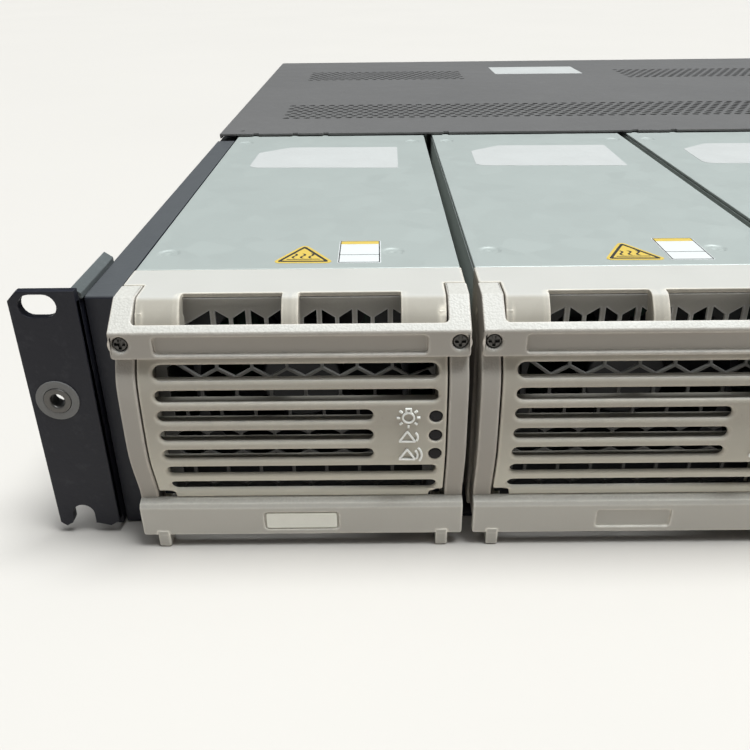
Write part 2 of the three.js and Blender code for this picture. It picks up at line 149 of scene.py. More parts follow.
# ------------------------------------------------------------------ solids from outlines
def slab(outer, holes=(), t=1.0, rim=0.3, back=0.1, steps=3, strips=None, thin=0.0):
    """A plate with rounded rims as (vertices, faces) in (a, b, depth), depth 0 in front.
    holes: (loop, rim) through, or (loop, rim, depth) blind, or (loop, [(inset, depth), ...]) for a turned dimple.
    strips: [(outer, [hole numbers])] cuts the caps into plain parts where a plate has very many holes."""
    verts, faces = [], []

    def quarter(r, n):
        return [(r * (1 - math.sin(math.pi / 2 * k / n)), r * (1 - math.cos(math.pi / 2 * k / n))) for k in range(n + 1)] if r > 0 else [(0.0, 0.0)]

    def rings(loop, profile):
        ids = []
        for ins, dep in profile:
            q = inset(loop, ins)
            ids.append(range(len(verts), len(verts) + len(q)))
            verts.extend((a, b, dep) for a, b in q)
        n = len(loop)
        for r0, r1 in zip(ids, ids[1:]):
            for i in range(n):
                j = (i + 1) % n
                faces.append((r0[i], r0[j], r1[j], r1[i]))
        return ids

    def cap(loops):
        flat = [i for lp in loops for i in lp]
        tris = geometry.tessellate_polygon([[Vector((verts[i][0], verts[i][1], 0)) for i in lp] for lp in loops])
        for tri in tris:
            faces.append(tuple(flat[k] for k in tri))

    outer = turned(outer, True)
    o = rings(outer, quarter(rim, steps) + [(0.0, t - back), (back, t)] if back > 0 else quarter(rim, steps) + [(0.0, t)])
    front, rear = [o[0]], [o[-1]]
    for h in holes:
        loop = turned(h[0], False)
        if isinstance(h[1], (list, tuple)):
            ids = rings(loop, h[1])
            front.append(ids[0])
            cap([ids[-1]])
        elif len(h) > 2:
            ids = rings(loop, quarter(h[1], steps) + [(0.0, h[2])])
            front.append(ids[0])
            cap([ids[-1]])
        else:
            ids = rings(loop, quarter(h[1], steps) + [(0.0, t)])
            front.append(ids[0])
            rear.append(ids[-1])
    if strips is None:
        cap(front)
        cap(rear)
    else:
        for side in (front, rear):
            for region, members in strips:
                base = len(verts)
                dep = verts[side[0][0]][2]
                if region is None:
                    loop0 = side[0]
                else:
                    verts.extend((a, b, dep) for a, b in turned(region, True))
                    loop0 = range(base, len(verts))
                cap([loop0] + [side[1 + m] for m in members])
    return verts, faces


def bend_path(path):
    pts = [Vector(p) for p in path]
    s = [0.0]
    for a, b in zip(pts, pts[1:]):
        s.append(s[-1] + (b - a).length)
    dirs = [(b - a).normalized() for a, b in zip(pts, pts[1:])]
    nor = [Vector((d.y, -d.x)) for d in dirs]
    m = []
    for i in range(len(pts)):
        if i == 0:
            m.append(nor[0])
        elif i == len(pts) - 1:
            m.append(nor[-1])
        else:
            k = 1 + nor[i - 1].dot(nor[i])
            m.append((nor[i - 1] + nor[i]) / k)
    return pts, s, m


def along(path, z=None, y=None, top=False):
    """Length along a path to where it passes height z, or depth y on its way back."""
    pts, s, _ = bend_path(path)
    for i in range(len(pts) - 1):
        a, b = pts[i], pts[i + 1]
        if z is not None and min(a.y, b.y) <= z <= max(a.y, b.y) and a.y != b.y:
            return s[i] + (s[i + 1] - s[i]) * (z - a.y) / (b.y - a.y)
        if y is not None and min(a.x, b.x) <= y <= max(a.x, b.x) and a.x != b.x and (not top or a.y > 84):
            return s[i] + (s[i + 1] - s[i]) * (y - a.x) / (b.x - a.x)
    raise ValueError("off the path")


def mesh_of(name, data, place=None, path=None, sharp=32.0, weighted=True, split=()):
    """bmesh from slab data -> cut along the path's corners -> put in place -> smooth with sharp edges."""
    verts, faces = data
    bm = bmesh.new()
    vs = [bm.verts.new(v) for v in verts]
    for f in faces:
        if len(set(f)) < 3:
            continue
        try:
            bm.faces.new([vs[i] for i in f])
        except ValueError:
            pass
    bmesh.ops.remove_doubles(bm, verts=bm.verts, dist=1e-5)
    bmesh.ops.dissolve_degenerate(bm, edges=bm.edges, dist=1e-6)
    if path is not None:
        pts, s, m = bend_path(path)
        for c in list(s[1:-1]) + list(split):
            bmesh.ops.bisect_plane(bm, geom=bm.verts[:] + bm.edges[:] + bm.faces[:], dist=1e-5, plane_co=(0, c, 0), plane_no=(0, 1, 0))
        for v in bm.verts:
            x, q, d = v.co
            k = 0
            while k < len(s) - 2 and q > s[k + 1]:
                k += 1
            f = (q - s[k]) / (s[k + 1] - s[k])
            a = pts[k] + m[k] * d
            b = pts[k + 1] + m[k + 1] * d
            p = a.lerp(b, f)
            v.co = (x, p.x, p.y)
    if place is not None:
        for v in bm.verts:
            v.co = place(*v.co)
    for v in bm.verts:
        v.co = (v.co.x * MM, (v.co.y + Y_EARS) * MM, v.co.z * MM)
    bmesh.ops.recalc_face_normals(bm, faces=bm.faces[:])
    lim = math.radians(sharp)
    for f in bm.faces:
        f.smooth = True
    for e in bm.edges:
        if len(e.link_faces) == 2:
            e.smooth = e.calc_face_angle(0.0) < lim
    me = bpy.data.meshes.new(name)
    bm.to_mesh(me)
    bm.free()
    if weighted:
        me = settle(me)
    return me


def settle(me):
    """Face-weighted normals written into the mesh."""
    tmp = bpy.data.objects.new("tmp", me)
    bpy.context.scene.collection.objects.link(tmp)
    mod = tmp.modifiers.new("w", "WEIGHTED_NORMAL")
    mod.keep_sharp = True
    mod.weight = 60
    dg = bpy.context.evaluated_depsgraph_get()
    out = bpy.data.meshes.new_from_object(tmp.evaluated_get(dg), preserve_all_data_layers=True, depsgraph=dg)
    name = me.name
    bpy.data.objects.remove(tmp)
    bpy.data.meshes.remove(me)
    out.name = name
    return out


def join(name, meshes, sharp=32.0):
    """Several closed shells of one moulding as one mesh."""
    bm = bmesh.new()
    for me in meshes:
        bm.from_mesh(me)
    out = bpy.data.meshes.new(name)
    bm.to_mesh(out)
    bm.free()
    return settle(out)


in_xz = lambda y0: (lambda a, b, d: (a, y0 + d, b))            # a plate that faces the front
in_xy = lambda z0: (lambda a, b, d: (a, b, z0 - d))            # a plate that faces up
in_yz = lambda x0, s: (lambda a, b, d: (x0 + s * d, a, b))     # a plate across x


# ------------------------------------------------------------------ materials
class Mat:
    def __init__(self, name):
        self.m = bpy.data.materials.new(name)
        self.m.use_nodes = True
        self.t = self.m.node_tree
        self.t.nodes.clear()
        self.out = self.n("ShaderNodeOutputMaterial")
        self.b = self.n("ShaderNodeBsdfPrincipled")
        self.l(self.b, "BSDF", self.out, "Surface")
        self.tc = self.n("ShaderNodeTexCoord")

    def n(self, kind, **kw):
        x = self.t.nodes.new(kind)
        for k, v in kw.items():
            setattr(x, k, v)
        return x

    def l(self, a, ao, b, bi):
        self.t.links.new(a.outputs[ao], b.inputs[bi])

    def scaled(self, sx, sy, sz, rot=(0, 0, 0)):
        mp = self.n("ShaderNodeMapping")
        mp.inputs["Scale"].default_value = (sx, sy, sz)
        mp.inputs["Rotation"].default_value = rot
        self.l(self.tc, "Object", mp, "Vector")
        return mp

    def painted_top_light(self, c, upper, z0=0.76, z1=0.985):
        """Mix towards a paler tone on the faces that look up: painted top light, as if lit from above."""
        sep = self.n("ShaderNodeSeparateXYZ")
        self.l(self.tc, "Normal", sep, "Vector")
        drift = self.noise(22, 3, 0.6)
        k = self.n("ShaderNodeMath", operation="MULTIPLY")
        self.l(self.remap(sep, "Z", z0, z1, 0.0, 1.0), "Result", k, 0)
        self.l(self.remap(drift, "Fac", 0.3, 0.7, 0.92, 1.0), "Result", k, 1)
        return self.mix(k, "Value", (c, 2), upper)

    def below(self, c, z0, z1, low):
        """Another tone on the lower part of a piece: all of it under z0, none above z1. It paints light and shade by
        height: a paler bottom on the bezel, a darker one on the guard.
        """
        sep = self.n("ShaderNodeSeparateXYZ")
        self.l(self.tc, "Object", sep, "Vector")
        return self.mix(self.remap(sep, "Z", z0, z1, 1.0, 0.0), "Result", (c, 2), low)

    def noise(self, scale, detail=3.0, rough=0.5, vec=None, kind="FBM"):
        x = self.n("ShaderNodeTexNoise")
        x.inputs["Scale"].default_value = scale
        x.inputs["Detail"].default_value = detail
        x.inputs["Roughness"].default_value = rough
        self.l(vec or self.tc, "Vector" if vec else "Object", x, "Vector")
        return x

    def remap(self, src, out, a, b, c, d):
        x = self.n("ShaderNodeMapRange")
        x.inputs["From Min"].default_value = a
        x.inputs["From Max"].default_value = b
        x.inputs["To Min"].default_value = c
        x.inputs["To Max"].default_value = d
        self.l(src, out, x, "Value")
        return x

    def mix(self, fac, fo, a, b, mode="MIX"):
        x = self.n("ShaderNodeMix", data_type="RGBA", blend_type=mode)
        if fac is None:
            x.inputs["Factor"].default_value = fo
        else:
            self.l(fac, fo, x, "Factor")
        for sock, v in ((6, a), (7, b)):
            if isinstance(v, tuple) and len(v) == 2:
                self.t.links.new(v[0].outputs[v[1]], x.inputs[sock])
            else:
                x.inputs[sock].default_value = (*v, 1)
        return x

    def bump(self, src, out, strength, dist, normal=None):
        x = self.n("ShaderNodeBump")
        x.inputs["Strength"].default_value = strength
        x.inputs["Distance"].default_value = dist
        self.l(src, out, x, "Height")
        if normal:
            self.l(normal, "Normal", x, "Normal")
        return x

    def edge(self, radius, lo=0.02, hi=0.3):
        """1 on rims: where a rounded normal leaves the true one."""
        bv = self.n("ShaderNodeBevel", samples=3)
        bv.inputs["Radius"].default_value = radius
        ge = self.n("ShaderNodeNewGeometry")
        dt = self.n("ShaderNodeVectorMath", operation="DOT_PRODUCT")
        self.l(bv, "Normal", dt, 0)
        self.l(ge, "Normal", dt, 1)
        return self.remap(dt, "Value", 1.0 - lo, 1.0 - hi, 0.0, 1.0)

    def set(self, **kw):
        names = {"base": "Base Color", "rough": "Roughness", "metal": "Metallic", "spec": "Specular IOR Level", "ior": "IOR",
                 "coat": "Coat Weight", "coat_rough": "Coat Roughness", "aniso": "Anisotropic"}
        for k, v in kw.items():
            s = self.b.inputs[names[k]]
            if isinstance(v, tuple) and len(v) == 2:
                self.t.links.new(v[0].outputs[v[1]], s)
            elif k == "base":
                s.default_value = (*v, 1)
            else:
                s.default_value = v


def srgb(r, g, b):
    f = lambda c: (c / 255 / 12.92) if c / 255 <= 0.04045 else ((c / 255 + 0.055) / 1.055) ** 2.4
    return (f(r), f(g), f(b))


def scale_rgb(c, k):
    return tuple(min(1.0, x * k) for x in c)


def moulded(name, col, rough=0.5, grain=0.0, grain_scale=1500, pale_rims=True, spec=0.4, blotch=0.05, rim_wear_and_highlight=1.2, upper=None, low=None):
    """Painted or moulded plastic: slight colour drift, fine grain, paler rims that stand partly for rubbing and partly
    for a painted highlight; upper adds a painted top light and low a painted tone by height.
    """
    m = Mat(name)
    big = m.noise(14, 4, 0.55)
    fine = m.noise(420, 3, 0.6)
    c = m.mix(m.remap(big, "Fac", 0.3, 0.7, 0, 1), "Result", scale_rgb(col, 1 - blotch), scale_rgb(col, 1 + blotch * 0.6))
    c = m.mix(m.remap(fine, "Fac", 0.35, 0.75, 0, 0.35), "Result", (c, 2), scale_rgb(col, 0.9))
    spots = m.noise(900, 1, 0.5)
    c = m.mix(m.remap(spots, "Fac", 0.72, 0.8, 0, 0.3), "Result", (c, 2), scale_rgb(col, 0.72))
    if low:
        c = m.below(c, *low)
    if upper:
        c = m.painted_top_light(c, upper)
    # paler rims: partly rubbing, partly a painted highlight where light catches the rounded lips
    if pale_rims:
        e = m.edge(0.0014, 0.02, 0.15)
        brk = m.noise(260, 3, 0.6)
        k = m.n("ShaderNodeMath", operation="MULTIPLY")
        m.l(e, "Result", k, 0)
        m.l(m.remap(brk, "Fac", 0.38, 0.62, 0.55, 1.0), "Result", k, 1)
        c = m.mix(k, "Value", (c, 2), scale_rgb(col, rim_wear_and_highlight))
    m.set(base=(c, 2), spec=spec, rough=(m.remap(m.noise(60, 3), "Fac", 0.3, 0.7, rough - 0.06, rough + 0.07), "Result"))
    nb = m.bump(m.noise(2200, 2, 0.5), "Fac", 0.25, 0.00004)
    if grain > 0:
        v = m.n("ShaderNodeTexVoronoi", feature="SMOOTH_F1")
        v.inputs["Scale"].default_value = grain_scale
        m.l(m.tc, "Object", v, "Vector")
        nb = m.bump(v, "Distance", grain, 0.00025, nb)
        nb = m.bump(m.noise(grain_scale * 0.8, 3, 0.6), "Fac", grain * 0.8, 0.0003, nb)
    m.l(nb, "Normal", m.b, "Normal")
    return m.m


def textured(name, col, rough, cell, strength, upper=None):
    """Pebbled moulding for the parts that hands touch, the pebbling strongest on the faces that look up; upper adds a
    painted top light, and the paler rims are a painted highlight along with some rubbing.
    """
    m = Mat(name)
    big = m.noise(16, 4, 0.55)
    c = m.mix(m.remap(big, "Fac", 0.3, 0.7, 0, 1), "Result", scale_rgb(col, 0.95), scale_rgb(col, 1.03))
    if upper:
        c = m.painted_top_light(c, upper, 0.55, 0.84)
    v = m.n("ShaderNodeTexVoronoi", feature="SMOOTH_F1")
    v.inputs["Scale"].default_value = cell
    m.l(m.tc, "Object", v, "Vector")
    ge = m.n("ShaderNodeNewGeometry")
    sep = m.n("ShaderNodeSeparateXYZ")
    m.l(ge, "True Normal", sep, "Vector")
    up = m.remap(sep, "Z", 0.3, 0.6, 0.12, 1.0)
    h = m.n("ShaderNodeMath", operation="MULTIPLY")
    m.l(v, "Distance", h, 0)
    m.l(up, "Result", h, 1)
    low = m.remap(v, "Distance", 0.0, 0.6, 0.0, 1.0)
    k0 = m.n("ShaderNodeMath", operation="MULTIPLY")
    m.l(low, "Result", k0, 0)
    m.l(up, "Result", k0, 1)
    k1 = m.n("ShaderNodeMath", operation="MULTIPLY")
    k1.inputs[1].default_value = 0.30
    m.l(k0, "Value", k1, 0)
    c = m.mix(k1, "Value", (c, 2), scale_rgb(col, 0.80))
    # rims nearly twice as pale: a painted highlight where light catches the edges, with some rubbing
    e = m.edge(0.0010, 0.012, 0.11)
    brk = m.noise(260, 3, 0.6)
    k = m.n("ShaderNodeMath", operation="MULTIPLY")
    m.l(e, "Result", k, 0)
    m.l(m.remap(brk, "Fac", 0.38, 0.62, 0.5, 1.0), "Result", k, 1)
    c = m.mix(k, "Value", (c, 2), scale_rgb(col, 1.95))
    m.set(base=(c, 2), spec=0.4, rough=(m.remap(m.noise(60, 3), "Fac", 0.3, 0.7, rough - 0.05, rough + 0.07), "Result"))
    b0 = m.bump(m.noise(2200, 2, 0.5), "Fac", 0.25, 0.00004)
    b1 = m.bump(h, "Value", strength, 0.0006, b0)
    m.l(b1, "Normal", m.b, "Normal")
    return m.m


def coated(name, col, rough=0.45, peel=0.25, wear_col=None, metal=0.0, spec=0.45, dust_and_top_light=None, low=None):
    """Powder-coated sheet: orange-peel bump, dust, edges rubbed to a paler tone; faces that look up can be paled,
    partly dust and partly painted top light, and low darkens the lower part as painted shade.
    """
    m = Mat(name)
    big = m.noise(9, 4, 0.55)
    c = m.mix(m.remap(big, "Fac", 0.3, 0.7, 0, 1), "Result", scale_rgb(col, 0.95), scale_rgb(col, 1.05))
    dust = m.noise(160, 5, 0.7)
    c = m.mix(m.remap(dust, "Fac", 0.55, 0.85, 0, 0.25), "Result", (c, 2), scale_rgb(tuple(x + 0.05 for x in col), 1.4))
    if low:
        c = m.below(c, *low)
    # paler faces that look up: partly dust, partly painted top light
    if dust_and_top_light:
        ge = m.n("ShaderNodeNewGeometry")
        sep = m.n("ShaderNodeSeparateXYZ")
        m.l(ge, "True Normal", sep, "Vector")
        dust_and_top_light_mask = m.n("ShaderNodeMath", operation="MULTIPLY")
        m.l(m.remap(sep, "Z", 0.4, 0.9, 0.0, 1.0), "Result", dust_and_top_light_mask, 0)
        m.l(m.remap(dust, "Fac", 0.2, 0.8, 0.85, 1.0), "Result", dust_and_top_light_mask, 1)
        c = m.mix(dust_and_top_light_mask, "Value", (c, 2), dust_and_top_light)
    scr = m.noise(60, 3, 0.6, m.scaled(1, 6, 24, (0.3, 0.2, 0.6)))
    c = m.mix(m.remap(scr, "Fac", 0.72, 0.78, 0, 0.1), "Result", (c, 2), scale_rgb(tuple(x + 0.06 for x in col), 1.5))
    e = m.edge(0.0006)
    brk = m.noise(300, 3, 0.6)
    k = m.n("ShaderNodeMath", operation="MULTIPLY")
    m.l(e, "Result", k, 0)
    m.l(m.remap(brk, "Fac", 0.35, 0.65, 0.1, 0.8), "Result", k, 1)
    c = m.mix(k, "Value", (c, 2), wear_col or scale_rgb(tuple(x + 0.04 for x in col), 2.0))
    m.set(base=(c, 2), metal=metal, spec=spec, rough=(m.remap(m.noise(45, 4), "Fac", 0.3, 0.7, rough - 0.03, rough + 0.04), "Result"))
    v = m.noise(950, 2, 0.5)
    nb = m.bump(v, "Fac", peel, 0.0002)
    m.l(nb, "Normal", m.b, "Normal")
    return m.m


def metal_sheet(name, col, rough=0.35, spangle=0.06, metal=0.85, brushed=False, pale_rims=True):
    """Galvanised or bare metal: soft spangle, faint handling marks."""
    m = Mat(name)
    v = m.n("ShaderNodeTexVoronoi", feature="F1")
    v.inputs["Scale"].default_value = 95
    warp = m.noise(30, 3, 0.6)
    add = m.n("ShaderNodeVectorMath", operation="MULTIPLY_ADD")
    m.l(warp, "Color", add, 0)
    add.inputs[1].default_value = (0.02, 0.02, 0.02)
    m.l(m.tc, "Object", add, 2)
    m.l(add, "Vector", v, "Vector")
    cell = m.n("ShaderNodeSeparateXYZ")
    m.l(v, "Color", cell, "Vector")
    c = m.mix(m.remap(cell, "X", 0.0, 1.0, 0.0, 1.0), "Result", scale_rgb(col, 1 - spangle), scale_rgb(col, 1 + spangle * 0.5))
    big = m.noise(7, 5, 0.6)
    c = m.mix(m.remap(big, "Fac", 0.35, 0.7, 0, 0.3), "Result", (c, 2), scale_rgb(col, 0.96))
    scuff = m.noise(40, 4, 0.65, m.scaled(3, 1, 1, (0, 0, 0.5)))
    c = m.mix(m.remap(scuff, "Fac", 0.62, 0.78, 0, 0.3), "Result", (c, 2), scale_rgb(col, 1.08))
    if pale_rims:
        e = m.edge(0.0006)
        c = m.mix(e, "Result", (c, 2), scale_rgb(col, 1.15))
    r = m.remap(cell, "Y", 0, 1, rough - 0.02, rough + 0.02)
    m.set(base=(c, 2), metal=metal, rough=(r, "Result"))
    if brushed:
        nb = m.bump(m.noise(300, 3, 0.6, m.scaled(1, 30, 1)), "Fac", 0.15, 0.00005)
    else:
        nb = m.bump(m.noise(700, 3, 0.6), "Fac", 0.15, 0.00006)
    m.l(nb, "Normal", m.b, "Normal")
    return m.m


# bezel: paler up-facing faces are painted top light, the paler, warmer bottom below 20-48 mm is painted bounce light
# from the floor, and rims 2.1 times paler are mostly a painted highlight on the slot lips, with some rubbing
BEZEL = moulded("bezel_plastic", (0.386, 0.349, 0.292), 0.56, pale_rims=True, blotch=0.025, rim_wear_and_highlight=2.1, upper=(0.470, 0.448, 0.411), low=(0.020, 0.048, (0.610, 0.575, 0.485)))
# the slats are the bezel's own plastic coloured darker: painted shade deep inside the slots
LOUVRE_SHADE = moulded("louvre_plastic_painted_shade", (0.27, 0.247, 0.21), 0.6, pale_rims=True, blotch=0.10, rim_wear_and_highlight=1.15)
# the raised strokes are the bezel's own plastic; their pale colour is a painted highlight on strokes lit from above
SYMBOL = moulded("symbol_plastic", (0.80, 0.79, 0.75), 0.45, pale_rims=True, blotch=0.02)
# handle: paler up-facing faces are painted top light, pale rims a painted highlight with some rubbing
HANDLE = textured("handle_plastic", (0.362, 0.329, 0.289), 0.52, 1700, 0.24, upper=(0.570, 0.542, 0.492))
# foot rail and hooks: the handle's plastic made paler, painted bounce light from the floor, plus painted top light on
# the faces that look up
FOOT = textured("foot_plastic", (0.510, 0.480, 0.428), 0.52, 1700, 0.24, upper=(0.66, 0.625, 0.56))
# ledge screen behind the grip windows: the guard's sheet coloured far paler than the guard, painted light where the
# deck's overhang shades it
INNER = textured("inner_ledge_plastic", (0.62, 0.59, 0.54), 0.55, 1500, 0.5)
# guard: coloured dark as painted shade behind the slots, and darker still below 52-62 mm, more painted shade
GUARD = coated("guard_paint", (0.19, 0.183, 0.168), 0.5, 0.6, (0.26, 0.25, 0.23), low=(0.052, 0.062, (0.075, 0.072, 0.068)))
BLACK = coated("black_coat", (0.010, 0.010, 0.016), 0.42, 0.35, (0.06, 0.06, 0.066), spec=0.3)
# paler than the black coat: partly bare sheared steel, partly painted top light on the edge that faces up
RAW = coated("cut_edge", (0.085, 0.093, 0.092), 0.6, 0.9, (0.16, 0.17, 0.17))
NICKEL = metal_sheet("plated_socket", (0.115, 0.108, 0.10), 0.35, 0.03, 0.6, brushed=True)
# side flanges: near black, with paler faces that look up, partly dust and partly painted top light
FLANK = coated("side_coat", (0.019, 0.0195, 0.027), 0.44, 0.3, (0.09, 0.09, 0.095), spec=0.3, dust_and_top_light=(0.080, 0.083, 0.086))
COVER = coated("cover_coat", (0.121, 0.114, 0.110), 0.46, 0.5, (0.24, 0.24, 0.24), spec=0.5)
ZINC = metal_sheet("galvanised", (0.415, 0.440, 0.412), 0.47, 0.03, 0.3)
SCREW = metal_sheet("screw_steel", (0.088, 0.083, 0.077), 0.36, 0.05, 0.75)
STEEL = metal_sheet("bare_steel", (0.15, 0.143, 0.132), 0.38, 0.08, 0.8, brushed=True)
DISC = coated("disc_coat", (0.15, 0.146, 0.14), 0.5, 0.5, (0.24, 0.24, 0.24))
FAN = moulded("fan_plastic", (0.012, 0.012, 0.014), 0.42, pale_rims=True, spec=0.5, blotch=0.2)
DARK = moulded("terminal_plastic", (0.02, 0.02, 0.023), 0.5, pale_rims=True, blotch=0.15)
LENS = moulded("lamp_lens", (0.009, 0.007, 0.008), 0.3, pale_rims=False, spec=0.2, blotch=0.1)
COPPER = metal_sheet("busbar_copper", (0.72, 0.40, 0.24), 0.33, 0.10, 0.95, brushed=True)
WHITE_LABEL = moulded("label_white", (0.478, 0.472, 0.453), 0.5, pale_rims=False, blotch=0.03)
PAPER = moulded("label_paper", (0.62, 0.62, 0.60), 0.45, pale_rims=False, blotch=0.02)
YELLOW = moulded("label_yellow", (0.60, 0.425, 0.085), 0.45, pale_rims=False, blotch=0.04)
INK = moulded("label_border", (0.03, 0.03, 0.03), 0.5, pale_rims=False, blotch=0.15)
PLATE = moulded("blank_plate", (0.86, 0.835, 0.74), 0.42, pale_rims=True, blotch=0.03)


def board():
    m = Mat("circuit_board")
    brick = m.n("ShaderNodeTexBrick")
    brick.inputs["Scale"].default_value = 160
    brick.inputs["Color1"].default_value = (0.008, 0.040, 0.020, 1)
    brick.inputs["Color2"].default_value = (0.010, 0.050, 0.024, 1)
    brick.inputs["Mortar"].default_value = (0.014, 0.075, 0.035, 1)
    brick.inputs["Mortar Size"].default_value = 0.06
    m.l(m.tc, "Object", brick, "Vector")
    n = m.noise(60, 4, 0.6)
    c = m.mix(m.remap(n, "Fac", 0.4, 0.7, 0, 0.5), "Result", (brick, 0), (0.006, 0.028, 0.014))
    e = m.edge(0.0006)
    c = m.mix(e, "Result", (c, 2), (0.12, 0.2, 0.1))
    m.set(base=(c, 2), spec=0.5, rough=(m.remap(n, "Fac", 0.3, 0.7, 0.35, 0.55), "Result"))
    m.l(m.bump(brick, "Fac", 0.3, 0.00006), "Normal", m.b, "Normal")
    return m.m


BOARD = board()


# ------------------------------------------------------------------ placing pieces
def piece(name, me, body, mat, stands_for=(), cx=0.0):
    me = me.copy()
    me.name = name
    me.materials.clear()
    me.materials.append(mat)
    o = bpy.data.objects.new(name, me)
    bpy.context.scene.collection.objects.link(o)
    o.location = (cx * MM, 0, 0)
    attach(o, body)
    if stands_for:
        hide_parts(*stands_for)
    return o


def keep(node, mat, bevel=0.0003):
    o = NODES[node]
    o.data.materials.clear()
    o.data.materials.append(mat)
    if bevel:
        b = o.modifiers.new("rims", "BEVEL")
        b.width = bevel
        b.segments = 2
        b.limit_method = "ANGLE"
        b.angle_limit = math.radians(35)
        b.harden_normals = False
    return o


# ------------------------------------------------------------------ bezel
FACE = [(-4.9, 17.7), (-5.2, 20.8), (-6.4, 24.8), (-7.6, 28.7), (-8.6, 32.4), (-9.25, 35.8), (-9.5, 40.0), (-9.5, 47.0), (-9.4, 53.0),
        (-9.25, 57.0), (-8.85, 60.5), (-8.2, 62.8), (-7.2, 64.9), (-6.1, 66.9), (-5.6, 68.8)]
TOP = 84.04
DECK_END = 23.6
ROLL = [(-5.4, 72.0), (-5.15, 74.3), (-4.45, 76.8), (-3.35, 79.1), (-1.95, 81.15), (-0.3, 82.85), (0.25, 83.38), (0.75, 83.74), (1.3, 83.96), (1.9, TOP)]
nose_path = FACE + ROLL + [(12.0, TOP), (DECK_END, TOP)]
S = lambda z: along(nose_path, z=z)
DECK = lambda y: along(nose_path, y=y, top=True)
s_end = bend_path(nose_path)[1][-1]
s_sh = DECK(10.95)
NOSE = 44.72
HALF_DECK = 51.2

WIDE = 45.15
outline = [(-WIDE, S(20.2)), (-40.2, S(20.2)), (-39.9, 0.0), (40.6, 0.0), (40.9, S(20.2)), (WIDE, S(20.2)), (WIDE, S(67.6)), (NOSE, S(69.2)), (NOSE, s_sh), (HALF_DECK, s_sh), (HALF_DECK, s_end),
           (-HALF_DECK, s_end), (-HALF_DECK, s_sh), (-NOSE, s_sh), (-NOSE, S(69.2)), (-WIDE, S(67.6))]
outline = rounded(outline, [0.5, 0.1, 0.1, 0.1, 0.1, 0.5, 0.2, 0.2, 0.3, 0.6, 0.3, 0.3, 0.6, 0.3, 0.2, 0.2], 3)
# top edge, right end, height and depth of each slot
SLOTS = [(66.0, 42.9, 4.3, 2.7), (58.5, 42.9, 3.95, 4.4), (51.8, 23.4, 3.8, 4.4), (44.9, 23.4, 3.75, 4.3), (38.1, 23.4, 3.75, 4.0), (31.2, 42.9, 3.65, 1.5), (24.2, 42.9, 3.6, 1.5)]
holes = []
for z_top, x1, high, _ in SLOTS:
    hi_, lo_ = S(z_top), S(z_top - high)
    holes.append((slot_loop(-40.9, x1, (hi_ + lo_) / 2, (hi_ - lo_) / 2, 9), 1.0))
for z in (49.4, 42.8, 36.2):
    holes.append((circle(42.05, S(z), 2.05, 24), 0.5))
for a, b in ((-32.0, -2.7), (2.2, 31.7)):
    holes.append((rounded([(a, S(69.6)), (b, S(69.6)), (b, DECK(3.9)), (a, DECK(3.9))], [0.6, 0.6, 0.5, 0.5], 4), 0.28))
skin = mesh_of("skin", slab(outline, holes, 1.25, 0.4, 0.0, 4), path=nose_path)


def front_y(z):
    for (ya, za), (yb, zb) in zip(FACE, FACE[1:]):
        if za <= z <= zb:
            return ya + (yb - ya) * (z - za) / (zb - za)
    return -5.4


# the slats run back behind the skin, deeper below the first slot
slats = []
for z_top, _, high, deep in SLOTS:
    zb = z_top - high - 0.03
    y0, y1 = front_y(zb - 1.0) + 0.95, front_y(zb) + deep
    reach = 39.4 if zb < 22 else 42.6
    slats.append(mesh_of("slat", slab(rounded([(y0, zb - 2.2), (y1, zb - 1.6), (y1, zb), (y0, zb)], 0.12, 1), [], 2 * reach, 0.05, 0.05, 1), in_yz(-reach, 1)))
# side walls of the grip windows, following the roll, and the ledge behind them
wells = []
for a, b in ((-32.0, -2.7), (2.2, 31.7)):
    for x, s in ((a, -1), (b, 1)):
        wall = [(-5.0, 69.2)] + [(y + 0.3, z - 0.3) for y, z in ROLL]
        wall += [(3.6, TOP - 0.4), (4.1, TOP - 1.6), (2.2, 78.5), (3.4, 76.8), (0.6, 70.4)]
        wells.append(mesh_of("well", slab(wall, [], 1.4, 0.1, 0.1, 2), in_yz(x + s * 0.06, s)))

# cheeks with the hinge lugs, and the rear frame
cheek = [(10.8, TOP - 1.2), (0.8, TOP - 1.4), (-2.6, TOP - 3.6), (-4.0, TOP - 7.0), (-4.2, 69.0)]
cheek += [(y + 1.2, z) for y, z in FACE[::-1][1:-2]] + [(-1.6, 21.4), (-1.2, 17.0), (-1.8, 13.6)]
cheek += [(1.5 - 3.9 * math.cos(a), 14 - 3.9 * math.sin(a)) for a in (0.35, 0.8, 1.25, 1.7, 2.15, 2.6, 3.0)] + [(5.6, 18.0), (10.8, 18.6)]
cheeks = [mesh_of("ck", slab(cheek, [(circle(1.5, 14.0, 1.8, 16), 0.2)], 2.0, 0.2, 0.1, 2), in_yz(s * (NOSE - 0.06), -s)) for s in (-1, 1)]
frame_out = rounded([(-51.14, 2.1), (51.14, 2.1), (51.14, TOP - 0.9), (-51.14, TOP - 0.9)], 0.6, 3)
frame_in = rounded([(-42.7, 20.4), (42.7, 20.4), (42.7, TOP - 2.2), (-42.7, TOP - 2.2)], 0.8, 3)
fr = [(circle(s * 48.45, 73.4, 2.6, 18), 0.35) for s in (-1, 1)]
front_frame = mesh_of("ff", slab(frame_out, [(frame_in, 0.2)] + fr, 3.4, 0.4, 0.1, 3), in_xz(10.95))
tail_in = rounded([(-49.4, 4.1), (49.4, 4.1), (49.4, TOP - 2.2), (-49.4, TOP - 2.2)], 0.6, 2)
tail_out = rounded([(-51.1, 2.15), (51.1, 2.15), (51.1, TOP - 0.95), (-51.1, TOP - 0.95)], 0.6, 3)
tail = mesh_of("tl", slab(tail_out, [(tail_in, 0.0)], DECK_END - 14.2, 0.0, 0.3, 2), in_xz(14.2))
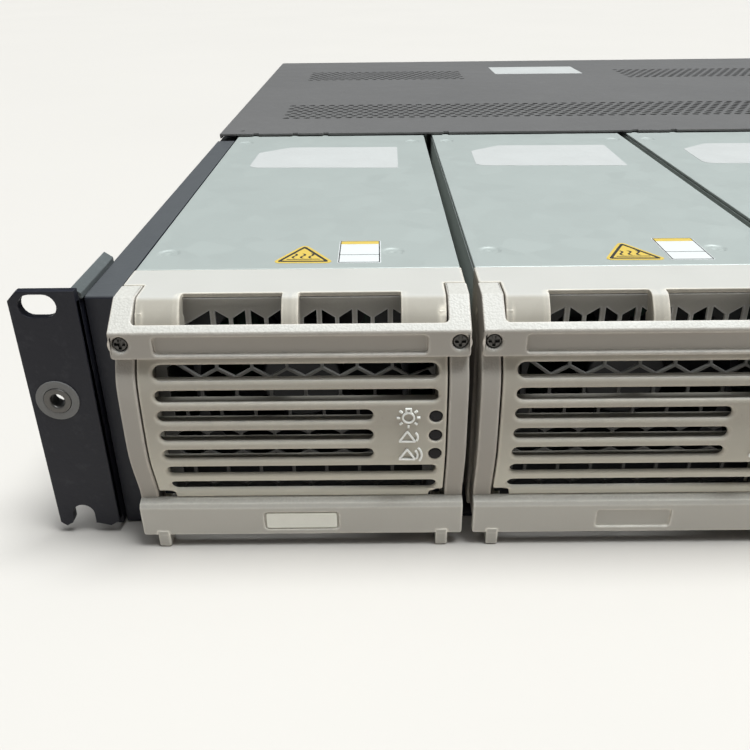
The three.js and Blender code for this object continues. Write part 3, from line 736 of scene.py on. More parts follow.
bezel_mesh = join("bezel", [skin, *wells, *cheeks, front_frame, tail])
slat_mesh = join("slats", slats)

# raised status symbols: a lamp, and two lamps of warning with sound arcs
ICON_Y = -10.05


def bar_loop(x0, z0, x1, z1, w):
    dx, dz = x1 - x0, z1 - z0
    n = math.hypot(dx, dz)
    px, pz = -dz / n * w / 2, dx / n * w / 2
    return [(x0 + px, z0 + pz), (x0 - px, z0 - pz), (x1 - px, z1 - pz), (x1 + px, z1 + pz)]


def arc_loop(cx, cz, r, a0, a1, w, n=8):
    o = [(cx + (r + w / 2) * math.cos(math.radians(a0 + (a1 - a0) * i / n)), cz + (r + w / 2) * math.sin(math.radians(a0 + (a1 - a0) * i / n))) for i in range(n + 1)]
    i_ = [(cx + (r - w / 2) * math.cos(math.radians(a1 - (a1 - a0) * i / n)), cz + (r - w / 2) * math.sin(math.radians(a1 - (a1 - a0) * i / n))) for i in range(n + 1)]
    return o + i_


def raised(loop, inner=None):
    return mesh_of("r", slab(loop, [(inner, 0.1)] if inner else [], 0.9, 0.14, 0.0, 2), in_xz(ICON_Y), weighted=False)


strokes = []
lx, lz = 33.85, 49.65
strokes.append(raised(circle(lx, lz - 0.3, 1.95, 24), circle(lx, lz - 0.3, 1.42, 24)))
strokes.append(raised([(lx - 1.05, lz + 1.3), (lx + 1.05, lz + 1.3), (lx + 0.95, lz + 2.9), (lx - 0.95, lz + 2.9)], [(lx - 0.5, lz + 1.75), (lx + 0.5, lz + 1.75), (lx + 0.45, lz + 2.45), (lx - 0.45, lz + 2.45)]))
for deg in (-90, -42, 0, 42, 138, 180, 222):
    a = math.radians(deg)
    strokes.append(raised(bar_loop(lx + 2.5 * math.cos(a), lz - 0.3 + 2.5 * math.sin(a), lx + 3.5 * math.cos(a), lz - 0.3 + 3.5 * math.sin(a), 0.62)))
for tz, arcs in ((42.7, 1), (36.35, 2)):
    tri = [(30.7, tz - 1.95), (36.4, tz - 1.95), (33.5, tz + 2.4)]
    strokes.append(raised(rounded(tri, 0.3, 2), rounded(inset(turned(tri), 0.55), 0.1, 2)))
    for j in range(arcs):
        strokes.append(raised(arc_loop(34.6, tz - 0.2, 2.1 + j * 1.25, -38, 48, 0.62)))
icon_mesh = join("icons", strokes)

# lamp lenses, set back in their holes
lenses = []
for z in (49.4, 42.8, 36.2):
    lenses.append(mesh_of("l", slab(circle(42.05, z, 2.03, 24), [], 3.2, 0.5, 0.1, 4), in_xz(-9.1), weighted=False))
lens_mesh = join("lenses", lenses)

# ------------------------------------------------------------------ handle
hp = fillet_path([(-8.8, 68.8), (-8.8, 77.05), (1.5, TOP), (10.6, TOP)], {1: 0.9, 2: 1.6}, 3)
h_end = bend_path(hp)[1][-1]
bar_top = 8.25 + 3.0 - 0.12
outline = [(-51.5, 0), (51.5, 0), (51.5, h_end), (45.1, h_end), (45.1, bar_top), (-45.1, bar_top), (-45.1, h_end), (-51.5, h_end)]
outline = rounded(outline, [0.9, 0.9, 0.5, 0.3, 1.3, 1.3, 0.3, 0.5], 4)
holes = [(circle(s * 48.45, 73.4 - 68.8, 2.35, 28), 0.95) for s in (-1, 1)]
holes.append((rounded([(-39.1, 1.15), (39.2, 1.15), (39.2, 6.9), (-39.1, 6.9)], 1.2, 5), 0.55, 1.35))
yoke = mesh_of("yoke", slab(outline, holes, 2.9, 0.5, 0.2, 4), path=hp)

leg = [(-5.45, 68.3), (-6.25, 69.0), (-6.25, 75.6), (1.2, 81.5), (10.5, 81.5), (10.5, 78.9), (3.5, 70.2), (0.6, 64), (0.6, 24), (5.0, 16), (5.0, 12), (1.0, 9.7), (-3.4, 9.3), (-4.3, 9.5)]
leg += [(-4.4, 16.8)] + [(y - 0.02, z) for y, z in FACE[:-1]]
legs = []
for s in (-1, 1):
    x_out = 51.42
    legs.append(mesh_of("leg", slab(leg, [], x_out - 45.75, 0.45, 0.35, 3), in_yz(s * x_out, -s)))
bp = fillet_path([(-7.9, 4.7), (-8.2, 15.3), (-7.4, 16.7), (-4.3, 17.7)], {1: 0.7, 2: 0.5}, 2)
b_end = bend_path(bp)[1][-1]
foot = mesh_of("foot", slab(rounded([(-51.5, 0), (51.5, 0), (51.5, b_end), (-51.5, b_end)], [0.8, 0.8, 0.4, 0.4], 3),
                            [(rounded([(-11.9, 2.1), (11.9, 2.1), (11.9, 8.8), (-11.9, 8.8)], 1.0, 4), 0.4, 0.8)], 2.5, 0.45, 0.2, 3), path=bp)
hooks = []
for x in (-45.0, 45.0):
    prof = [(-7.9, 0.15), (-8.15, 6.4), (-3.2, 6.4), (-3.2, 4.2), (-2.0, 2.2), (-2.0, 0.35)]
    hooks.append(mesh_of("hook", slab(rounded(prof, 0.3, 2), [], 3.8, 0.35, 0.35, 2), in_yz(x - 1.9, 1)))
    hooks.append(mesh_of("rib", slab(rounded([(-4.6, 2.2), (-4.6, 6.2), (-3.0, 6.2), (-3.0, 3.4)], 0.2, 2), [], 1.2, 0.2, 0.2, 2), in_yz(x + (2.3 if x < 0 else -3.5), 1)))
pins = [mesh_of("pin", slab(circle(1.5, 14.0, 1.5, 20), [], 4.0, 0.25, 0.25, 2), in_yz(s * 46.0, -s)) for s in (-1, 1)]
handle_mesh = join("handle", [yoke, *legs, *pins])
foot_mesh = join("foot_rail", [foot, *hooks])
plate_mesh = mesh_of("plate", slab(rounded([(-11.3, 7.2), (11.3, 7.2), (11.3, 13.1), (-11.3, 13.1)], 0.7, 3), [], 0.5, 0.18, 0.0, 2), in_xz(-7.9))

# ------------------------------------------------------------------ captive screw
cross = []
w, r = 0.42, 1.75
for k in range(4):
    a = math.pi / 2 * k
    for px, pz in ((r, -w), (r, w), (w, w)):
        cross.append((px * math.cos(a) - pz * math.sin(a), px * math.sin(a) + pz * math.cos(a)))
screw_head = mesh_of("head", slab(circle(0, 0, 2.15, 32), [(rounded(cross, 0.12, 1), 0.15, 0.95)], 1.5, 0.5, 0.1, 4), in_xz(-8.0))
screw_neck = mesh_of("neck", slab(circle(0, 0, 1.5, 20), [], 20.2, 0.2, 0.5, 2), in_xz(-7.0))
screw_mesh = join("screw", [screw_head, screw_neck])

# ------------------------------------------------------------------ honeycomb guard
# two sheets: the hexagon screen close behind the slats, and the ledge screen set back below the grip windows
GP, RISE, HALF = 10.6, 3.1, 3.35
LOW = 16.2
holes = []
for r_ in range(6):
    zc = 63.9 - 9.8 * r_
    for k in range(-5, 6):
        x = (-2.55 if r_ % 2 else 2.75) + GP * k
        x0, x1 = max(x - GP / 2, -38.8), min(x + GP / 2, 42.3 if r_ < 2 else 39.4)
        if x1 - x0 < 3.5:
            continue
        hexa = [(x, zc + HALF + RISE), (x - GP / 2, zc + HALF), (x - GP / 2, zc - HALF), (x, zc - HALF - RISE), (x + GP / 2, zc - HALF), (x + GP / 2, zc + HALF)]
        if r_ == 0 and k == -4:
            continue
        if r_ == 0 and k == 3:
            x1 = 42.3
            hexa[4], hexa[5] = (x1, zc - HALF), (x1, zc + HALF)
        if r_ == 0 and k == -3:
            hexa[2] = (x - GP / 2, zc - HALF + 0.9)
        if r_ == 1 and k == -3:
            x0 = -39.3
            hexa = [(-36.6, 63.2), (x0, 61.3), (x0, zc - HALF - 1.6), (x, zc - HALF - RISE), (x + GP / 2, zc - HALF), (x + GP / 2, zc + HALF)]
        if r_ == 1 and k == -4:
            continue
        cell = [(min(max(a, x0 + 0.45), x1 - 0.45), min(max(b, 17.2), 67.2)) for a, b in inset(turned(hexa, True), 0.47)]
        keep_, last = [], None
        for q in cell:
            if last is None or math.hypot(q[0] - last[0], q[1] - last[1]) > 0.05:
                keep_.append(q)
                last = q
        if area(keep_) < 5:
            continue
        holes.append(([(a, b) for a, b in keep_], 0.12))
guard_mesh = mesh_of("gp", slab(rounded([(-42.3, LOW), (42.3, LOW), (42.3, 67.9), (-42.3, 67.9)], 0.5, 2), holes, 1.0, 0.15, 0.1, 2), in_xz(1.0))
gpath = [(1.6, 68.1), (7.3, 70.6), (7.3, 82.2)]
GS = lambda z: along(gpath, z=z)
g_end = bend_path(gpath)[1][-1]
holes = []
zt = 77.55
for k in range(0, 6):
    x = -24.63 + 10.68 * k
    if x > 34:
        continue
    for sgn in (-1, 1):
        w_, z_side = 10.68 / 2 - 0.6, zt - 3.05
        pts = [(x + sgn * 0.8, zt - 0.45), (x + sgn * w_, z_side), (x + sgn * w_, 71.4), (x + sgn * 0.8, 71.4)]
        if k == 0 and sgn < 0:
            pts = [(x - 0.8, zt - 0.45), (x - 8.9, zt - 5.1), (x - 8.9, 71.4), (x - 0.8, 71.4)]
        if x + sgn * w_ > 40:
            continue
        holes.append(([(a, GS(b)) for a, b in pts], 0.12))
ledge_plate = mesh_of("gp", slab(rounded([(-42.3, 0), (42.3, 0), (42.3, g_end), (-42.3, g_end)], 0.3, 2), holes, 1.0, 0.15, 0.1, 2), path=gpath)
ledge_lip = mesh_of("gl", slab(rounded([(4.3, 81.95), (7.6, 81.95), (7.6, 82.45), (4.3, 82.45)], 0.2, 2), [], 84.0, 0.1, 0.1, 2), in_yz(-42.0, 1))
ledge_mesh = join("ledge", [ledge_plate, ledge_lip])
# dark blocks behind the bottom corner notches and a dark sheet over the frame's lower member: painted shade, standing
# in for the deep shadow there
shade_blocks = [mesh_of("shade_block", slab(rounded([(x0, 17.0), (x0 + 4.2, 17.0), (x0 + 4.2, 22.0), (x0, 22.0)], 0.3, 2), [], 1.2, 0.2, 0.1, 2), in_xz(-2.2)) for x0 in (-44.3, 40.2)]
shade_blocks.append(mesh_of("shade_sheet", slab([(-42.4, 3.4), (42.4, 3.4), (42.4, 20.8), (-42.4, 20.8)], [], 1.0, 0.15, 0.1, 1), in_xz(9.85)))
shade_block_mesh = join("shade_blocks", shade_blocks)

# ------------------------------------------------------------------ fan
RC = 46.5
fr_out = rounded([(-35, RC - 35), (35, RC - 35), (35, RC + 35), (-35, RC + 35)], 4.0, 4)
screws = [(circle(sx * 31, RC + sz * 31, 2.1, 12), 0.2) for sx in (-1, 1) for sz in (-1, 1)]
flange = lambda y: mesh_of("fl", slab(fr_out, [(circle(0, RC, 33.0, 48), 0.6)] + screws, 3.0, 0.3, 0.2, 2), in_xz(y))
duct = mesh_of("duct", slab(circle(0, RC, 34.6, 48), [(circle(0, RC, 33.05, 48), 0.0)], 24.0, 0.0, 0.0, 1), in_xz(17.4))
parts = [flange(16.9), flange(38.9), duct]
for k in range(4):
    a = math.pi / 2 * k + math.pi / 4
    parts.append(mesh_of("st", slab(bar_loop(11 * math.cos(a), RC + 11 * math.sin(a), 33.8 * math.cos(a), RC + 33.8 * math.sin(a), 3.2), [], 2.8, 0.4, 0.3, 2), in_xz(39.05)))
parts.append(mesh_of("hub", slab(circle(0, RC, 14.0, 36), [], 2.8, 0.5, 0.3, 3), in_xz(39.1)))
parts.append(mesh_of("post", slab(circle(0, RC, 2.2, 16), [], 16.0, 0.3, 0.2, 2), in_xz(24.9)))
fan_frame_mesh = join("fan_frame", parts)


def rotor():
    bm = bmesh.new()
    for b in range(7):
        th0 = 2 * math.pi * b / 7
        rows = []
        for i in range(9):
            rr = 12.8 + (31.2 - 12.8) * i / 8
            pitch = math.radians(48 - 20 * i / 8)
            chord = 11.0 + 4.5 * i / 8
            sweep = 0.16 * (i / 8) ** 2
            row = []
            for side in (-1, 1):
                for j in range(7):
                    u = (j / 6 - 0.5) if side < 0 else (0.5 - j / 6)
                    camber = 0.9 * (1 - (2 * u) ** 2)
                    th = 0.75 * (1 - (2 * abs(u)) ** 3) * (1 - 0.3 * i / 8)
                    ty = u * chord * math.sin(pitch) + (camber + side * th) * math.cos(pitch)
                    tt = u * chord * math.cos(pitch) - (camber + side * th) * math.sin(pitch)
                    a = th0 + sweep + tt / rr
                    row.append(bm.verts.new((rr * math.cos(a), 27.6 + max(-9.2, min(9.0, ty)), RC + rr * math.sin(a))))
            rows.append(row)
        n = len(rows[0])
        for r0, r1 in zip(rows, rows[1:]):
            for i in range(n):
                bm.faces.new((r0[i], r0[(i + 1) % n], r1[(i + 1) % n], r1[i]))
        bm.faces.new(rows[0][::-1])
        bm.faces.new(rows[-1])
    bmesh.ops.remove_doubles(bm, verts=bm.verts, dist=1e-4)
    bmesh.ops.recalc_face_normals(bm, faces=bm.faces[:])
    for v in bm.verts:
        v.co = (v.co.x * MM, (v.co.y + Y_EARS) * MM, v.co.z * MM)
    for f in bm.faces:
        f.smooth = True
    for e in bm.edges:
        if len(e.link_faces) == 2:
            e.smooth = e.calc_face_angle(0.0) < math.radians(50)
    me = bpy.data.meshes.new("blades")
    bm.to_mesh(me)
    bm.free()
    return me


rotor_hub = mesh_of("rhub", slab(circle(0, RC, 13.5, 40), [(circle(0, RC, 2.5, 16), 0.2)], 19.0, 1.2, 0.3, 4), in_xz(18.9))
rotor_mesh = join("rotor", [rotor(), rotor_hub])

# ------------------------------------------------------------------ module lid, tub and stickers
LID = 84.0
lid_out = rounded([(-50.9, 23.9), (50.9, 23.9), (50.9, 300), (-50.9, 300)], 0.5, 2)
dimple = [(-0.8, 0.0), (-0.4, 0.06), (0.0, 0.24), (0.5, 0.45), (1.2, 0.36), (2.0, 0.3), (2.7, 0.6)]
dimples = [(circle(x, y, 3.3, 28), [(-i, d) for i, d in dimple]) for x, y in ((-44.1, 39.8), (30.2, 39.7), (-44.1, 217.8), (44.1, 217.8))]
lid_plate = mesh_of("lid", slab(lid_out, dimples, 1.05, 0.35, 0.1, 3), in_xy(LID))
rims = []
for s in (-1, 1):
    rims.append(mesh_of("lr", slab(rounded([(26.9, 76.1), (297, 76.1), (297, 83.4), (26.9, 83.4)], 0.4, 2), [], 1.0, 0.15, 0.15, 1), in_yz(s * 49.8, -s)))
lid_mesh = join("lid", [lid_plate, *rims])

tri_pts = [(-9.0, 29.0), (11.5, 28.6), (0.6, 47.3)]
tri_base = mesh_of("tb", slab(rounded(tri_pts, 1.6, 5), [], 0.16, 0.06, 0.0, 2), in_xy(LID + 0.12))
ring_o = rounded(inset(turned(tri_pts), 1.0), 0.7, 4)
ring_i = rounded(inset(turned(tri_pts), 1.95), 0.35, 3)
tri_ring = mesh_of("tr", slab(ring_o, [(ring_i, 0.0)], 0.08, 0.02, 0.0, 1), in_xy(LID + 0.17))
waves = [mesh_of("wb", slab([(-4.4, 31.9), (6.6, 31.9), (6.4, 32.4), (-4.2, 32.4)], [], 0.08, 0.02, 0.0, 1), in_xy(LID + 0.17))]
for x in (-1.9, 0.8, 3.5):
    mid = [(x - 0.6 * math.sin(math.tau * k / 20), 33.1 + 4.5 * k / 20) for k in range(21)]
    waves.append(mesh_of("wv", slab([(a + 0.36, b) for a, b in mid] + [(a - 0.36, b) for a, b in mid[::-1]], [], 0.08, 0.02, 0.0, 1), in_xy(LID + 0.17)))
wave_mesh = join("waves", waves)
lab = [(12.2, 28.5), (26.2, 28.5), (26.2, 50.5), (12.2, 50.5)]
lab_base = mesh_of("lb", slab(rounded(lab, 0.5, 2), [], 0.16, 0.05, 0.0, 1), in_xy(LID + 0.12))
lab_ring = mesh_of("lr2", slab(rounded([(12.5, 28.8), (25.9, 28.8), (25.9, 50.2), (12.5, 50.2)], 0.3, 2), [(rounded([(12.85, 36.35), (25.55, 36.35), (25.55, 49.85), (12.85, 49.85)], 0.2, 1), 0.0), (rounded([(12.85, 29.15), (25.55, 29.15), (25.55, 36.05), (12.85, 36.05)], 0.2, 1), 0.0)], 0.07, 0.02, 0.0, 1), in_xy(LID + 0.16))
lab_band = mesh_of("lbb", slab([(12.86, 47.0), (25.54, 47.0), (25.54, 49.84), (12.86, 49.84)], [], 0.06, 0.02, 0.0, 1), in_xy(LID + 0.155))
name_pts = [(-35.1, 167.0), (34.9, 157.0), (35.6, 203.1), (-18.9, 204.3), (-33.6, 192.0)]
name_plate = mesh_of("np", slab(rounded([(-34.9, 160.5), (34.9, 157.6), (35.6, 203.1), (-18.9, 204.3), (-33.9, 192.0)], [5.0, 1.0, 1.0, 3.0, 3.0], 6), [], 0.16, 0.05, 0.0, 1), in_xy(LID + 0.12))

for n, cx in enumerate(CENTRES, 1):
    m = f"module_{n}"
    hb = f"handle_{n}"
    piece(f"{m}_bezel_moulding", bezel_mesh, m, BEZEL, (f"{m}_bezel",), cx)
    piece(f"{m}_louvre_slats", slat_mesh, m, LOUVRE_SHADE, (), cx)
    piece(f"{m}_status_symbols", icon_mesh, m, SYMBOL, (), cx)
    piece(f"{m}_lamp_lenses", lens_mesh, m, LENS, (), cx)
    piece(f"{m}_handle_moulding", handle_mesh, hb, HANDLE, (f"{m}_handle",), cx)
    piece(f"{m}_handle_foot_rail", foot_mesh, hb, FOOT, (), cx)
    if n in (1,):
        piece(f"{m}_blank_name_plate", plate_mesh, hb, PLATE, (), cx)
    for s, side in ((-1, "left"), (1, "right")):
        o = piece(f"{m}_captive_screw_{side}", screw_mesh, f"screw_{n}_{side}", SCREW, (f"{m}_screw_{side}",), cx + s * 48.45)
    piece(f"{m}_honeycomb_guard", guard_mesh, m, GUARD, (f"{m}_fan_guard",), cx)
    piece(f"{m}_window_ledge_screen", ledge_mesh, m, INNER, (), cx)
    piece(f"{m}_corner_shade_blocks", shade_block_mesh, m, DARK, (), cx)
    piece(f"{m}_fan_housing", fan_frame_mesh, m, FAN, (f"{m}_fan_frame",), cx)
    piece(f"{m}_fan_wheel", rotor_mesh, f"fan_{n}", FAN, (f"{m}_fan_rotor",), cx)
    piece(f"{m}_lid", lid_mesh, m, ZINC, (f"{m}_cover",), cx)
    piece(f"{m}_triangle_sticker", tri_base, m, YELLOW, (), cx)
    piece(f"{m}_triangle_border", tri_ring, m, INK, (), cx)
    piece(f"{m}_heat_waves", wave_mesh, m, INK, (), cx)
    piece(f"{m}_small_label", lab_base, m, PAPER, (), cx)
    piece(f"{m}_small_label_border", lab_ring, m, INK, (), cx)
    piece(f"{m}_small_label_band", lab_band, m, YELLOW, (), cx)
    piece(f"{m}_blank_rating_label", name_plate, m, WHITE_LABEL, (), cx)
    keep(f"{m}_case", ZINC, 0.0003)
    keep(f"{m}_power_board", BOARD, 0.0)

# the screws' shanks are drawn about their own axis; lift them to the bar's height
for o in bpy.context.scene.objects:
    if "_captive_screw_" in o.name:
        o.matrix_world = Matrix.Translation((o.matrix_world.translation.x, 0, 73.4 * MM))

# ------------------------------------------------------------------ cover with its two bands of round vents
def band(x0, x1, y0, rows, first, px=6.3, py=5.6, r=2.15):
    out = []
    for j in range(rows):
        xs, x = [], x0 + (px / 2 if (j + first) % 2 else 0)
        while x <= x1 + 0.01:
            xs.append(x)
            x += px
        out.append([(x, y0 + j * py) for x in xs])
    return out


COVER_TOP = 85.8
C0, C1, CX = 233.5, 567.4, 220.6
rows1 = band(-188.9, 188.9, 280.6, 9, 0)
rows2 = band(-186.5, -66.0, 449.6, 9, 0)
rows2b = band(66.0, 186.5, 449.6, 9, 0)
rows2 = [a + b for a, b in zip(rows2, rows2b)]
vents, strips = [], []
notches = [-200.8, -179.2, -162.4, -96.5, 7.2, 28.3]
edge = [(-CX, C0)]
for x in notches:
    edge += [(x - 1.7, C0), (x - 1.3, C0 + 1.8), (x + 1.3, C0 + 1.8), (x + 1.7, C0)]
edge += [(CX, C0), (CX, C1), (-CX, C1)]
regions = []
for rows in (rows1, rows2):
    for row in rows:
        y = row[0][1]
        ids = []
        for x, yy in row:
            ids.append(len(vents))
            vents.append((circle(x, yy, 2.1, 12, math.pi / 12), 0.25))
        regions.append(((y - 2.8, y + 2.8), ids))
ids = []
for x in (-209.2, 209.2):
    ids.append(len(vents))
    vents.append((circle(x, 242.0, 1.25, 12), 0.5))
regions.append(((C0 + 5.0, C0 + 12.0), ids))
regions.sort(key=lambda q: q[0][0])
spans = []
y_at = C0 + 5.0
for (a, b), ids in regions:
    if a > y_at + 1e-6:
        spans.append(((y_at, a), []))
    spans.append(((max(a, y_at), b), ids))
    y_at = b
spans.append(((y_at, C1 - 4.0), []))
IN = CX - 1.0
strip_list = [([(-IN, a), (IN, a), (IN, b), (-IN, b)], ids) for (a, b), ids in spans]


def cover_mesh():
    """The vent field is one sheet; its caps are cut in rows, and a margin frame joins them to the edge."""
    verts, faces = slab(edge, vents, 1.2, 0.4, 0.15, 2, strips=[])
    # caps, front and back, row by row; the margin frame has the field as its hole
    o_rings = 2 + 1 + 2
    per = len(edge)
    # ring order in slab: outer rings first (3 rim + 2 back), then each vent (3 rim + 1 back)
    outer_front = list(range(0, per))
    outer_back = list(range(per * (o_rings - 1), per * o_rings))
    base = per * o_rings
    vf, vb = [], []
    for loop, _ in vents:
        k = len(loop)
        vf.append(list(range(base, base + k)))
        vb.append(list(range(base + 3 * k, base + 4 * k)))
        base += 4 * k

    def cap(loops):
        flat = [i for lp in loops for i in lp]
        for tri in geometry.tessellate_polygon([[Vector((verts[i][0], verts[i][1], 0)) for i in lp] for lp in loops]):
            faces.append(tuple(flat[k] for k in tri))

    for outer, v, dep in ((outer_front, vf, 0.0), (outer_back, vb, 1.2)):
        y_lo, y_hi = spans[0][0][0], spans[-1][0][1]
        ys = [s_[0][0] for s_ in spans] + [spans[-1][0][1]]
        left, right = [], []
        for y in ys:
            verts.append((-IN, y, dep))
            left.append(len(verts) - 1)
            verts.append((IN, y, dep))
            right.append(len(verts) - 1)
        for i, (_, ids) in enumerate(spans):
            cap([[left[i], right[i], right[i + 1], left[i + 1]]] + [v[k] for k in ids])
        ring = right[:] + left[::-1]
        cap([outer, ring[::-1]])
    return verts, faces


cover_plate = mesh_of("cover", cover_mesh(), in_xy(COVER_TOP))
lips = []
for s in (-1, 1):
    lips.append(mesh_of("lip", slab(rounded([(C0 + 0.1, 83.35), (C1 - 0.1, 83.35), (C1 - 0.1, 85.2), (C0 + 0.1, 85.2)], 0.2, 1), [], 1.1, 0.1, 0.1, 1), in_yz(s * (CX - 0.05), -s)))
cover = join("cover", [cover_plate, *lips])
piece("rear_top_cover_sheet", cover, "shelf", COVER, ("rear_top_cover",))
piece("cover_blank_sticker", mesh_of("cs", slab(rounded([(-37, 474), (34, 473), (34, 519), (-37, 519)], 1.0, 3), [], 0.16, 0.05, 0.0, 1), in_xy(COVER_TOP + 0.12)), "shelf", WHITE_LABEL)

# ------------------------------------------------------------------ side walls: a folded flange in front and on top
for s, side in ((-1, "left"), (1, "right")):
    fl = fillet_path([(5.2, 0.2), (5.2, 83.0), (228.4, 83.0)], {1: 1.2}, 3)
    le = bend_path(fl)[1][-1]
    a, b = sorted((s * 220.95, s * 211.75))
    flange = mesh_of("fl", slab(rounded([(a, 0), (b, 0), (b, le), (a, le)], 0.4, 2), [], 1.5, 0.35, 0.1, 2), path=fl)
    plate = mesh_of("pl", slab(rounded([(5.5, 0.0), (567.4, 0.0), (567.4, 81.9), (228.6, 81.9), (228.2, 82.7), (5.5, 82.7)], [0.4, 0.4, 0.4, 0.1, 0.1, 1.0], 3), [], 1.5, 0.3, 0.1, 2), in_yz(s * 221.0, -s))
    # the flange under the cover is black, and its last 5 mm in front of the cover shows as a dark step: painted shade
    under = mesh_of("un", slab([(a, 228.6), (b, 228.6), (b, 567.3), (a, 567.3)], [], 1.5, 0.2, 0.1, 1), in_xy(82.0))
    piece(f"side_wall_{side}_rear_flange", under, "shelf", BLACK)
    piece(f"side_wall_{side}_folded", join("side", [flange, plate]), "shelf", FLANK, (f"side_wall_{side}",))

# ------------------------------------------------------------------ rack ears
for s, side in ((-1, "left"), (1, "right")):
    xo, xi, nx = s * 241.3, s * 221.4, s * 232.9
    out = [(xo, 4.0), (xo, 83.6), (xo - s * 3.0, 86.6), (xi, 86.6), (xi, 4.2), (xi + s * 3.2, 2.4), (nx - s * 3.4, 3.6), (nx - s * 3.5, 5.4)]
    out += [(nx - s * 3.5 * math.cos(math.pi * i / 12), 7.4 + 3.5 * math.sin(math.pi * i / 12)) for i in range(13)]
    out += [(nx + s * 3.5, 5.4), (nx + s * 4.4, 3.6), (xo - s * 1.9, 2.4)]
    hs = [(slot_loop(nx - 5.5, nx + 5.5, 81.9, 3.6, 10), 0.25)]
    if s < 0:
        hs.append((circle(-232.9, 50.9, 4.6, 28), 0.2))
    front = mesh_of("ear", slab(out, hs, 2.8, 0.4, 0.25, 3), in_xz(0.0))
    back = mesh_of("leg", slab(rounded([(0.35, 4.4), (3.1, 4.4), (3.3, 1.0), (34.0, 1.0), (34.0, 83.4), (0.35, 83.4)], [0.3, 0.1, 0.3, 0.8, 0.1, 0.1], 3), [], 2.0, 0.3, 0.3, 3), in_yz(s * 223.4, -s))
    strip = [(s * 223.35, 83.15), (s * 223.35, 86.4), (s * 223.1, 86.58), (s * 220.7, 84.9), (s * 220.5, 84.6), (s * 220.5, 83.15)]
    piece(f"rack_ear_{side}_edge_strip", mesh_of("st", slab(strip, [], 31.6, 0.12, 0.12, 2), in_xz(2.9)), "shelf", RAW)
    piece(f"rack_ear_{side}_bracket", join("ear", [front, back]), "shelf", BLACK, (f"rack_ear_{side}",))

# fixings: the ears' screws and the rivets along the side walls
for s, side in ((-1, "left"), (1, "right")):
    heads = []
    for y, z in ((10.5, 16.0), (10.5, 68.0), (25.0, 16.0), (25.0, 68.0)):
        loop = [(y + a, z + b) for a, b in circle(0, 0, 3.0, 28)]
        rec = rounded([(y + a * 0.95, z + b * 0.95) for a, b in cross], 0.12, 1)
        heads.append(mesh_of("h", slab(loop, [(rec, 0.12, 0.6)], 0.8, 0.35, 0.05, 3), in_yz(s * 224.0, -s)))
    for y in (70.0, 150.0, 250.0, 340.0, 430.0, 520.0):
        for z in (9.0, 74.0):
            loop = [(y + a, z + b) for a, b in circle(0, 0, 2.2, 20)]
            heads.append(mesh_of("r", slab(loop, [], 0.9, 0.5, 0.05, 4), in_yz(s * 221.55, -s)))
    piece(f"side_fixings_{side}", join("fixings", heads), "shelf", BLACK)

# wrist-strap socket: washer, collar and a stepped bore
washer = mesh_of("w", slab(circle(-232.9, 50.9, 6.65, 40), [(circle(-232.9, 50.9, 4.3, 32), 0.12)], 0.45, 0.15, 0.0, 2), in_xz(-0.46))
piece("wrist_strap_washer", washer, "shelf", DISC)
collar = mesh_of("c", slab(circle(-232.9, 50.9, 4.2, 36), [(circle(-232.9, 50.9, 2.15, 28), 0.7)], 4.0, 0.25, 0.3, 4), in_xz(-0.7))
nut = mesh_of("nut", slab(rounded([(-232.9 + 7.0 * math.cos(math.pi / 3 * k), 50.9 + 7.0 * math.sin(math.pi / 3 * k)) for k in range(6)], 0.5, 2), [(circle(-232.9, 50.9, 3.0, 24), 0.3)], 2.6, 0.3, 0.3, 2), in_xz(2.9))
collar = join("socket", [collar, nut])
piece("wrist_strap_socket", collar, "shelf", NICKEL, ("esd_jack",))

# ------------------------------------------------------------------ the rest of the shelf keeps its CAD shape
keep("base_tray", BLACK)
keep("rear_panel", BLACK)
for k in (1, 2, 3):
    keep(f"guide_rail_{k}", BLACK, 0.0002)
keep("backplane_board", BOARD, 0.0002)
keep("busbar_positive", COPPER)
keep("busbar_negative", COPPER)
keep("dc_terminal_block", DARK, 0.0005)
keep("ac_terminal_block", DARK, 0.0005)
keep("ground_stud", STEEL, 0.0002)

# ------------------------------------------------------------------ floor, light, camera
fm = bmesh.new()
R_, N_ = 14.0, 24
grid = [[fm.verts.new(((i / N_ - 0.5) * 2 * R_, (j / N_ - 0.5) * 2 * R_ + 4.0, -0.0002)) for i in range(N_ + 1)] for j in range(N_ + 1)]
for j in range(N_):
    for i in range(N_):
        fm.faces.new((grid[j][i], grid[j][i + 1], grid[j + 1][i + 1], grid[j + 1][i]))
me = bpy.data.meshes.new("floor")
fm.to_mesh(me)
fm.free()
floor = bpy.data.objects.new("floor", me)
bpy.context.scene.collection.objects.link(floor)
f = Mat("floor")
n = f.noise(3, 3)
c = f.mix(f.remap(n, "Fac", 0.3, 0.7, 0, 1), "Result", (0.548, 0.508, 0.468), (0.558, 0.517, 0.476))
f.set(base=(c, 2), rough=0.7, spec=0.2)
f.l(f.bump(f.noise(200, 3), "Fac", 0.05, 0.0002), "Normal", f.b, "Normal")
me.materials.append(f.m)


def lamp(name, kind, energy, loc=(0, 0, 3), aim=(0, 0, 0), size=1.0, angle=0.5, color=(1, 1, 1)):
    d = bpy.data.lights.new(name, kind)
    d.energy = energy
    d.color = color
    if kind == "AREA":
        d.shape = "RECTANGLE"
        d.size, d.size_y = (size if isinstance(size, tuple) else (size, size))
    if kind == "SUN":
        d.angle = angle
    o = bpy.data.objects.new(name, d)
    bpy.context.scene.collection.objects.link(o)
    o.location = loc
    v = Vector(aim) - Vector(loc)
    o.rotation_euler = v.to_track_quat("-Z", "Y").to_euler()
    return o


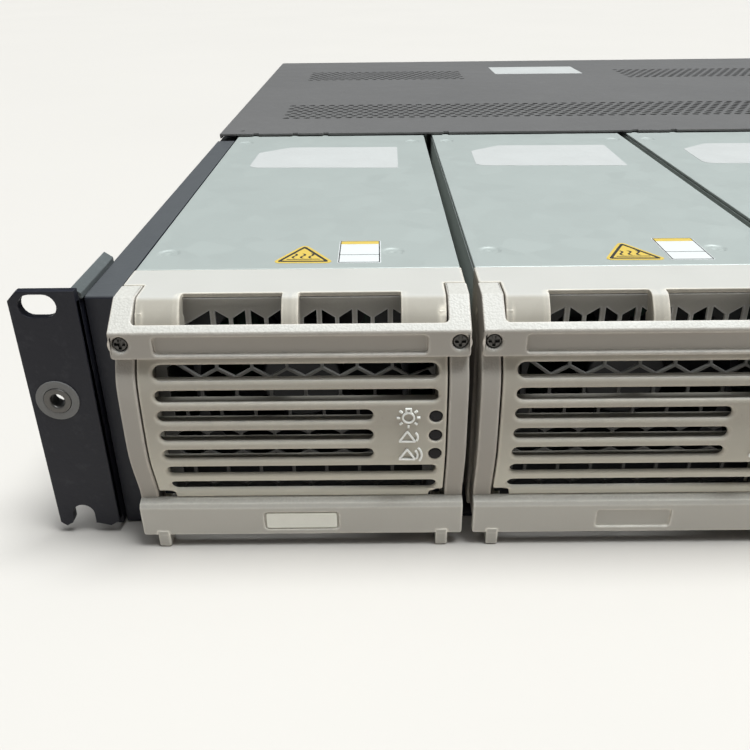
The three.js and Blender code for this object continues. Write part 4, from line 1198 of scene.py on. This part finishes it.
lamp("overhead", "SUN", 4.75, (0.9, 0.0, 3.0), (0, 0, 0), angle=math.radians(30), color=(0.91, 0.97, 1.0))
lamp("front_fill", "AREA", 0.12, (0.9, -2.3, 0.6), (0, -0.3, 0.05), (2.2, 0.5), color=(1.0, 0.84, 0.66))

lamp("low_fill", "AREA", 0.055, (0.2, -1.9, 0.10), (0, -0.3, 0.10), (2.0, 0.16), color=(1.0, 0.88, 0.74))

# soft overhead dome: bright above, dim at the sides, with a pale strip along the horizon
w = bpy.data.worlds.new("studio")
bpy.context.scene.world = w
w.use_nodes = True
wt = w.node_tree
wtc = wt.nodes.new("ShaderNodeTexCoord")
wsp = wt.nodes.new("ShaderNodeSeparateXYZ")
wmr = wt.nodes.new("ShaderNodeMapRange")
wmr.interpolation_type = "SMOOTHSTEP"
wmr.inputs["From Min"].default_value = 0.70
wmr.inputs["From Max"].default_value = 1.0
wmr.inputs["To Min"].default_value = 0.03
wmr.inputs["To Max"].default_value = 1.43
wt.links.new(wtc.outputs["Generated"], wsp.inputs["Vector"])
wt.links.new(wsp.outputs["Z"], wmr.inputs["Value"])
whz = wt.nodes.new("ShaderNodeMapRange")
whz.interpolation_type = "SMOOTHSTEP"
whz.inputs["From Min"].default_value = 0.16
whz.inputs["From Max"].default_value = 0.32
whz.inputs["To Min"].default_value = 0.32
whz.inputs["To Max"].default_value = 0.0
wad = wt.nodes.new("ShaderNodeMath")
wad.operation = "ADD"
wt.links.new(wsp.outputs["Z"], whz.inputs["Value"])
wt.links.new(wmr.outputs["Result"], wad.inputs[0])
wt.links.new(whz.outputs["Result"], wad.inputs[1])
wt.links.new(wad.outputs["Value"], wt.nodes["Background"].inputs["Strength"])
wt.nodes["Background"].inputs["Color"].default_value = (0.91, 0.965, 1.0, 1)


def rot(rx, ry, rz):
    rx, ry, rz = (math.radians(a) for a in (rx, ry, rz))
    c, s = math.cos(rz), math.sin(rz)
    z = Matrix(((c, -s, 0), (s, c, 0), (0, 0, 1)))
    c, s = math.cos(rx), math.sin(rx)
    x = Matrix(((1, 0, 0), (0, c, -s), (0, s, c)))
    c, s = math.cos(ry), math.sin(ry)
    y = Matrix(((c, 0, s), (0, 1, 0), (-s, 0, c)))
    return z @ x @ y


M = rot(-27.82, 0.65, 0.31)
right, fwd, up = M.col[0], M.col[1], M.col[2]
cam_d = bpy.data.cameras.new("camera")
cam_d.sensor_width = 36.0
cam_d.lens = 37.744
cam_d.clip_start = 0.01
cam_d.clip_end = 60.0
cam = bpy.data.objects.new("camera", cam_d)
bpy.context.scene.collection.objects.link(cam)
cam.matrix_world = Matrix((
    (right.x, up.x, -fwd.x, -134.46 * MM),
    (right.y, up.y, -fwd.y, -496.68 * MM),
    (right.z, up.z, -fwd.z, 169.30 * MM),
    (0, 0, 0, 1)))
sc = bpy.context.scene
sc.camera = cam
sc.view_settings.view_transform = "Standard"
sc.view_settings.look = "None"
sc.view_settings.exposure = 0.0
sc.view_settings.gamma = 1.0

bpy.context.view_layer.update()
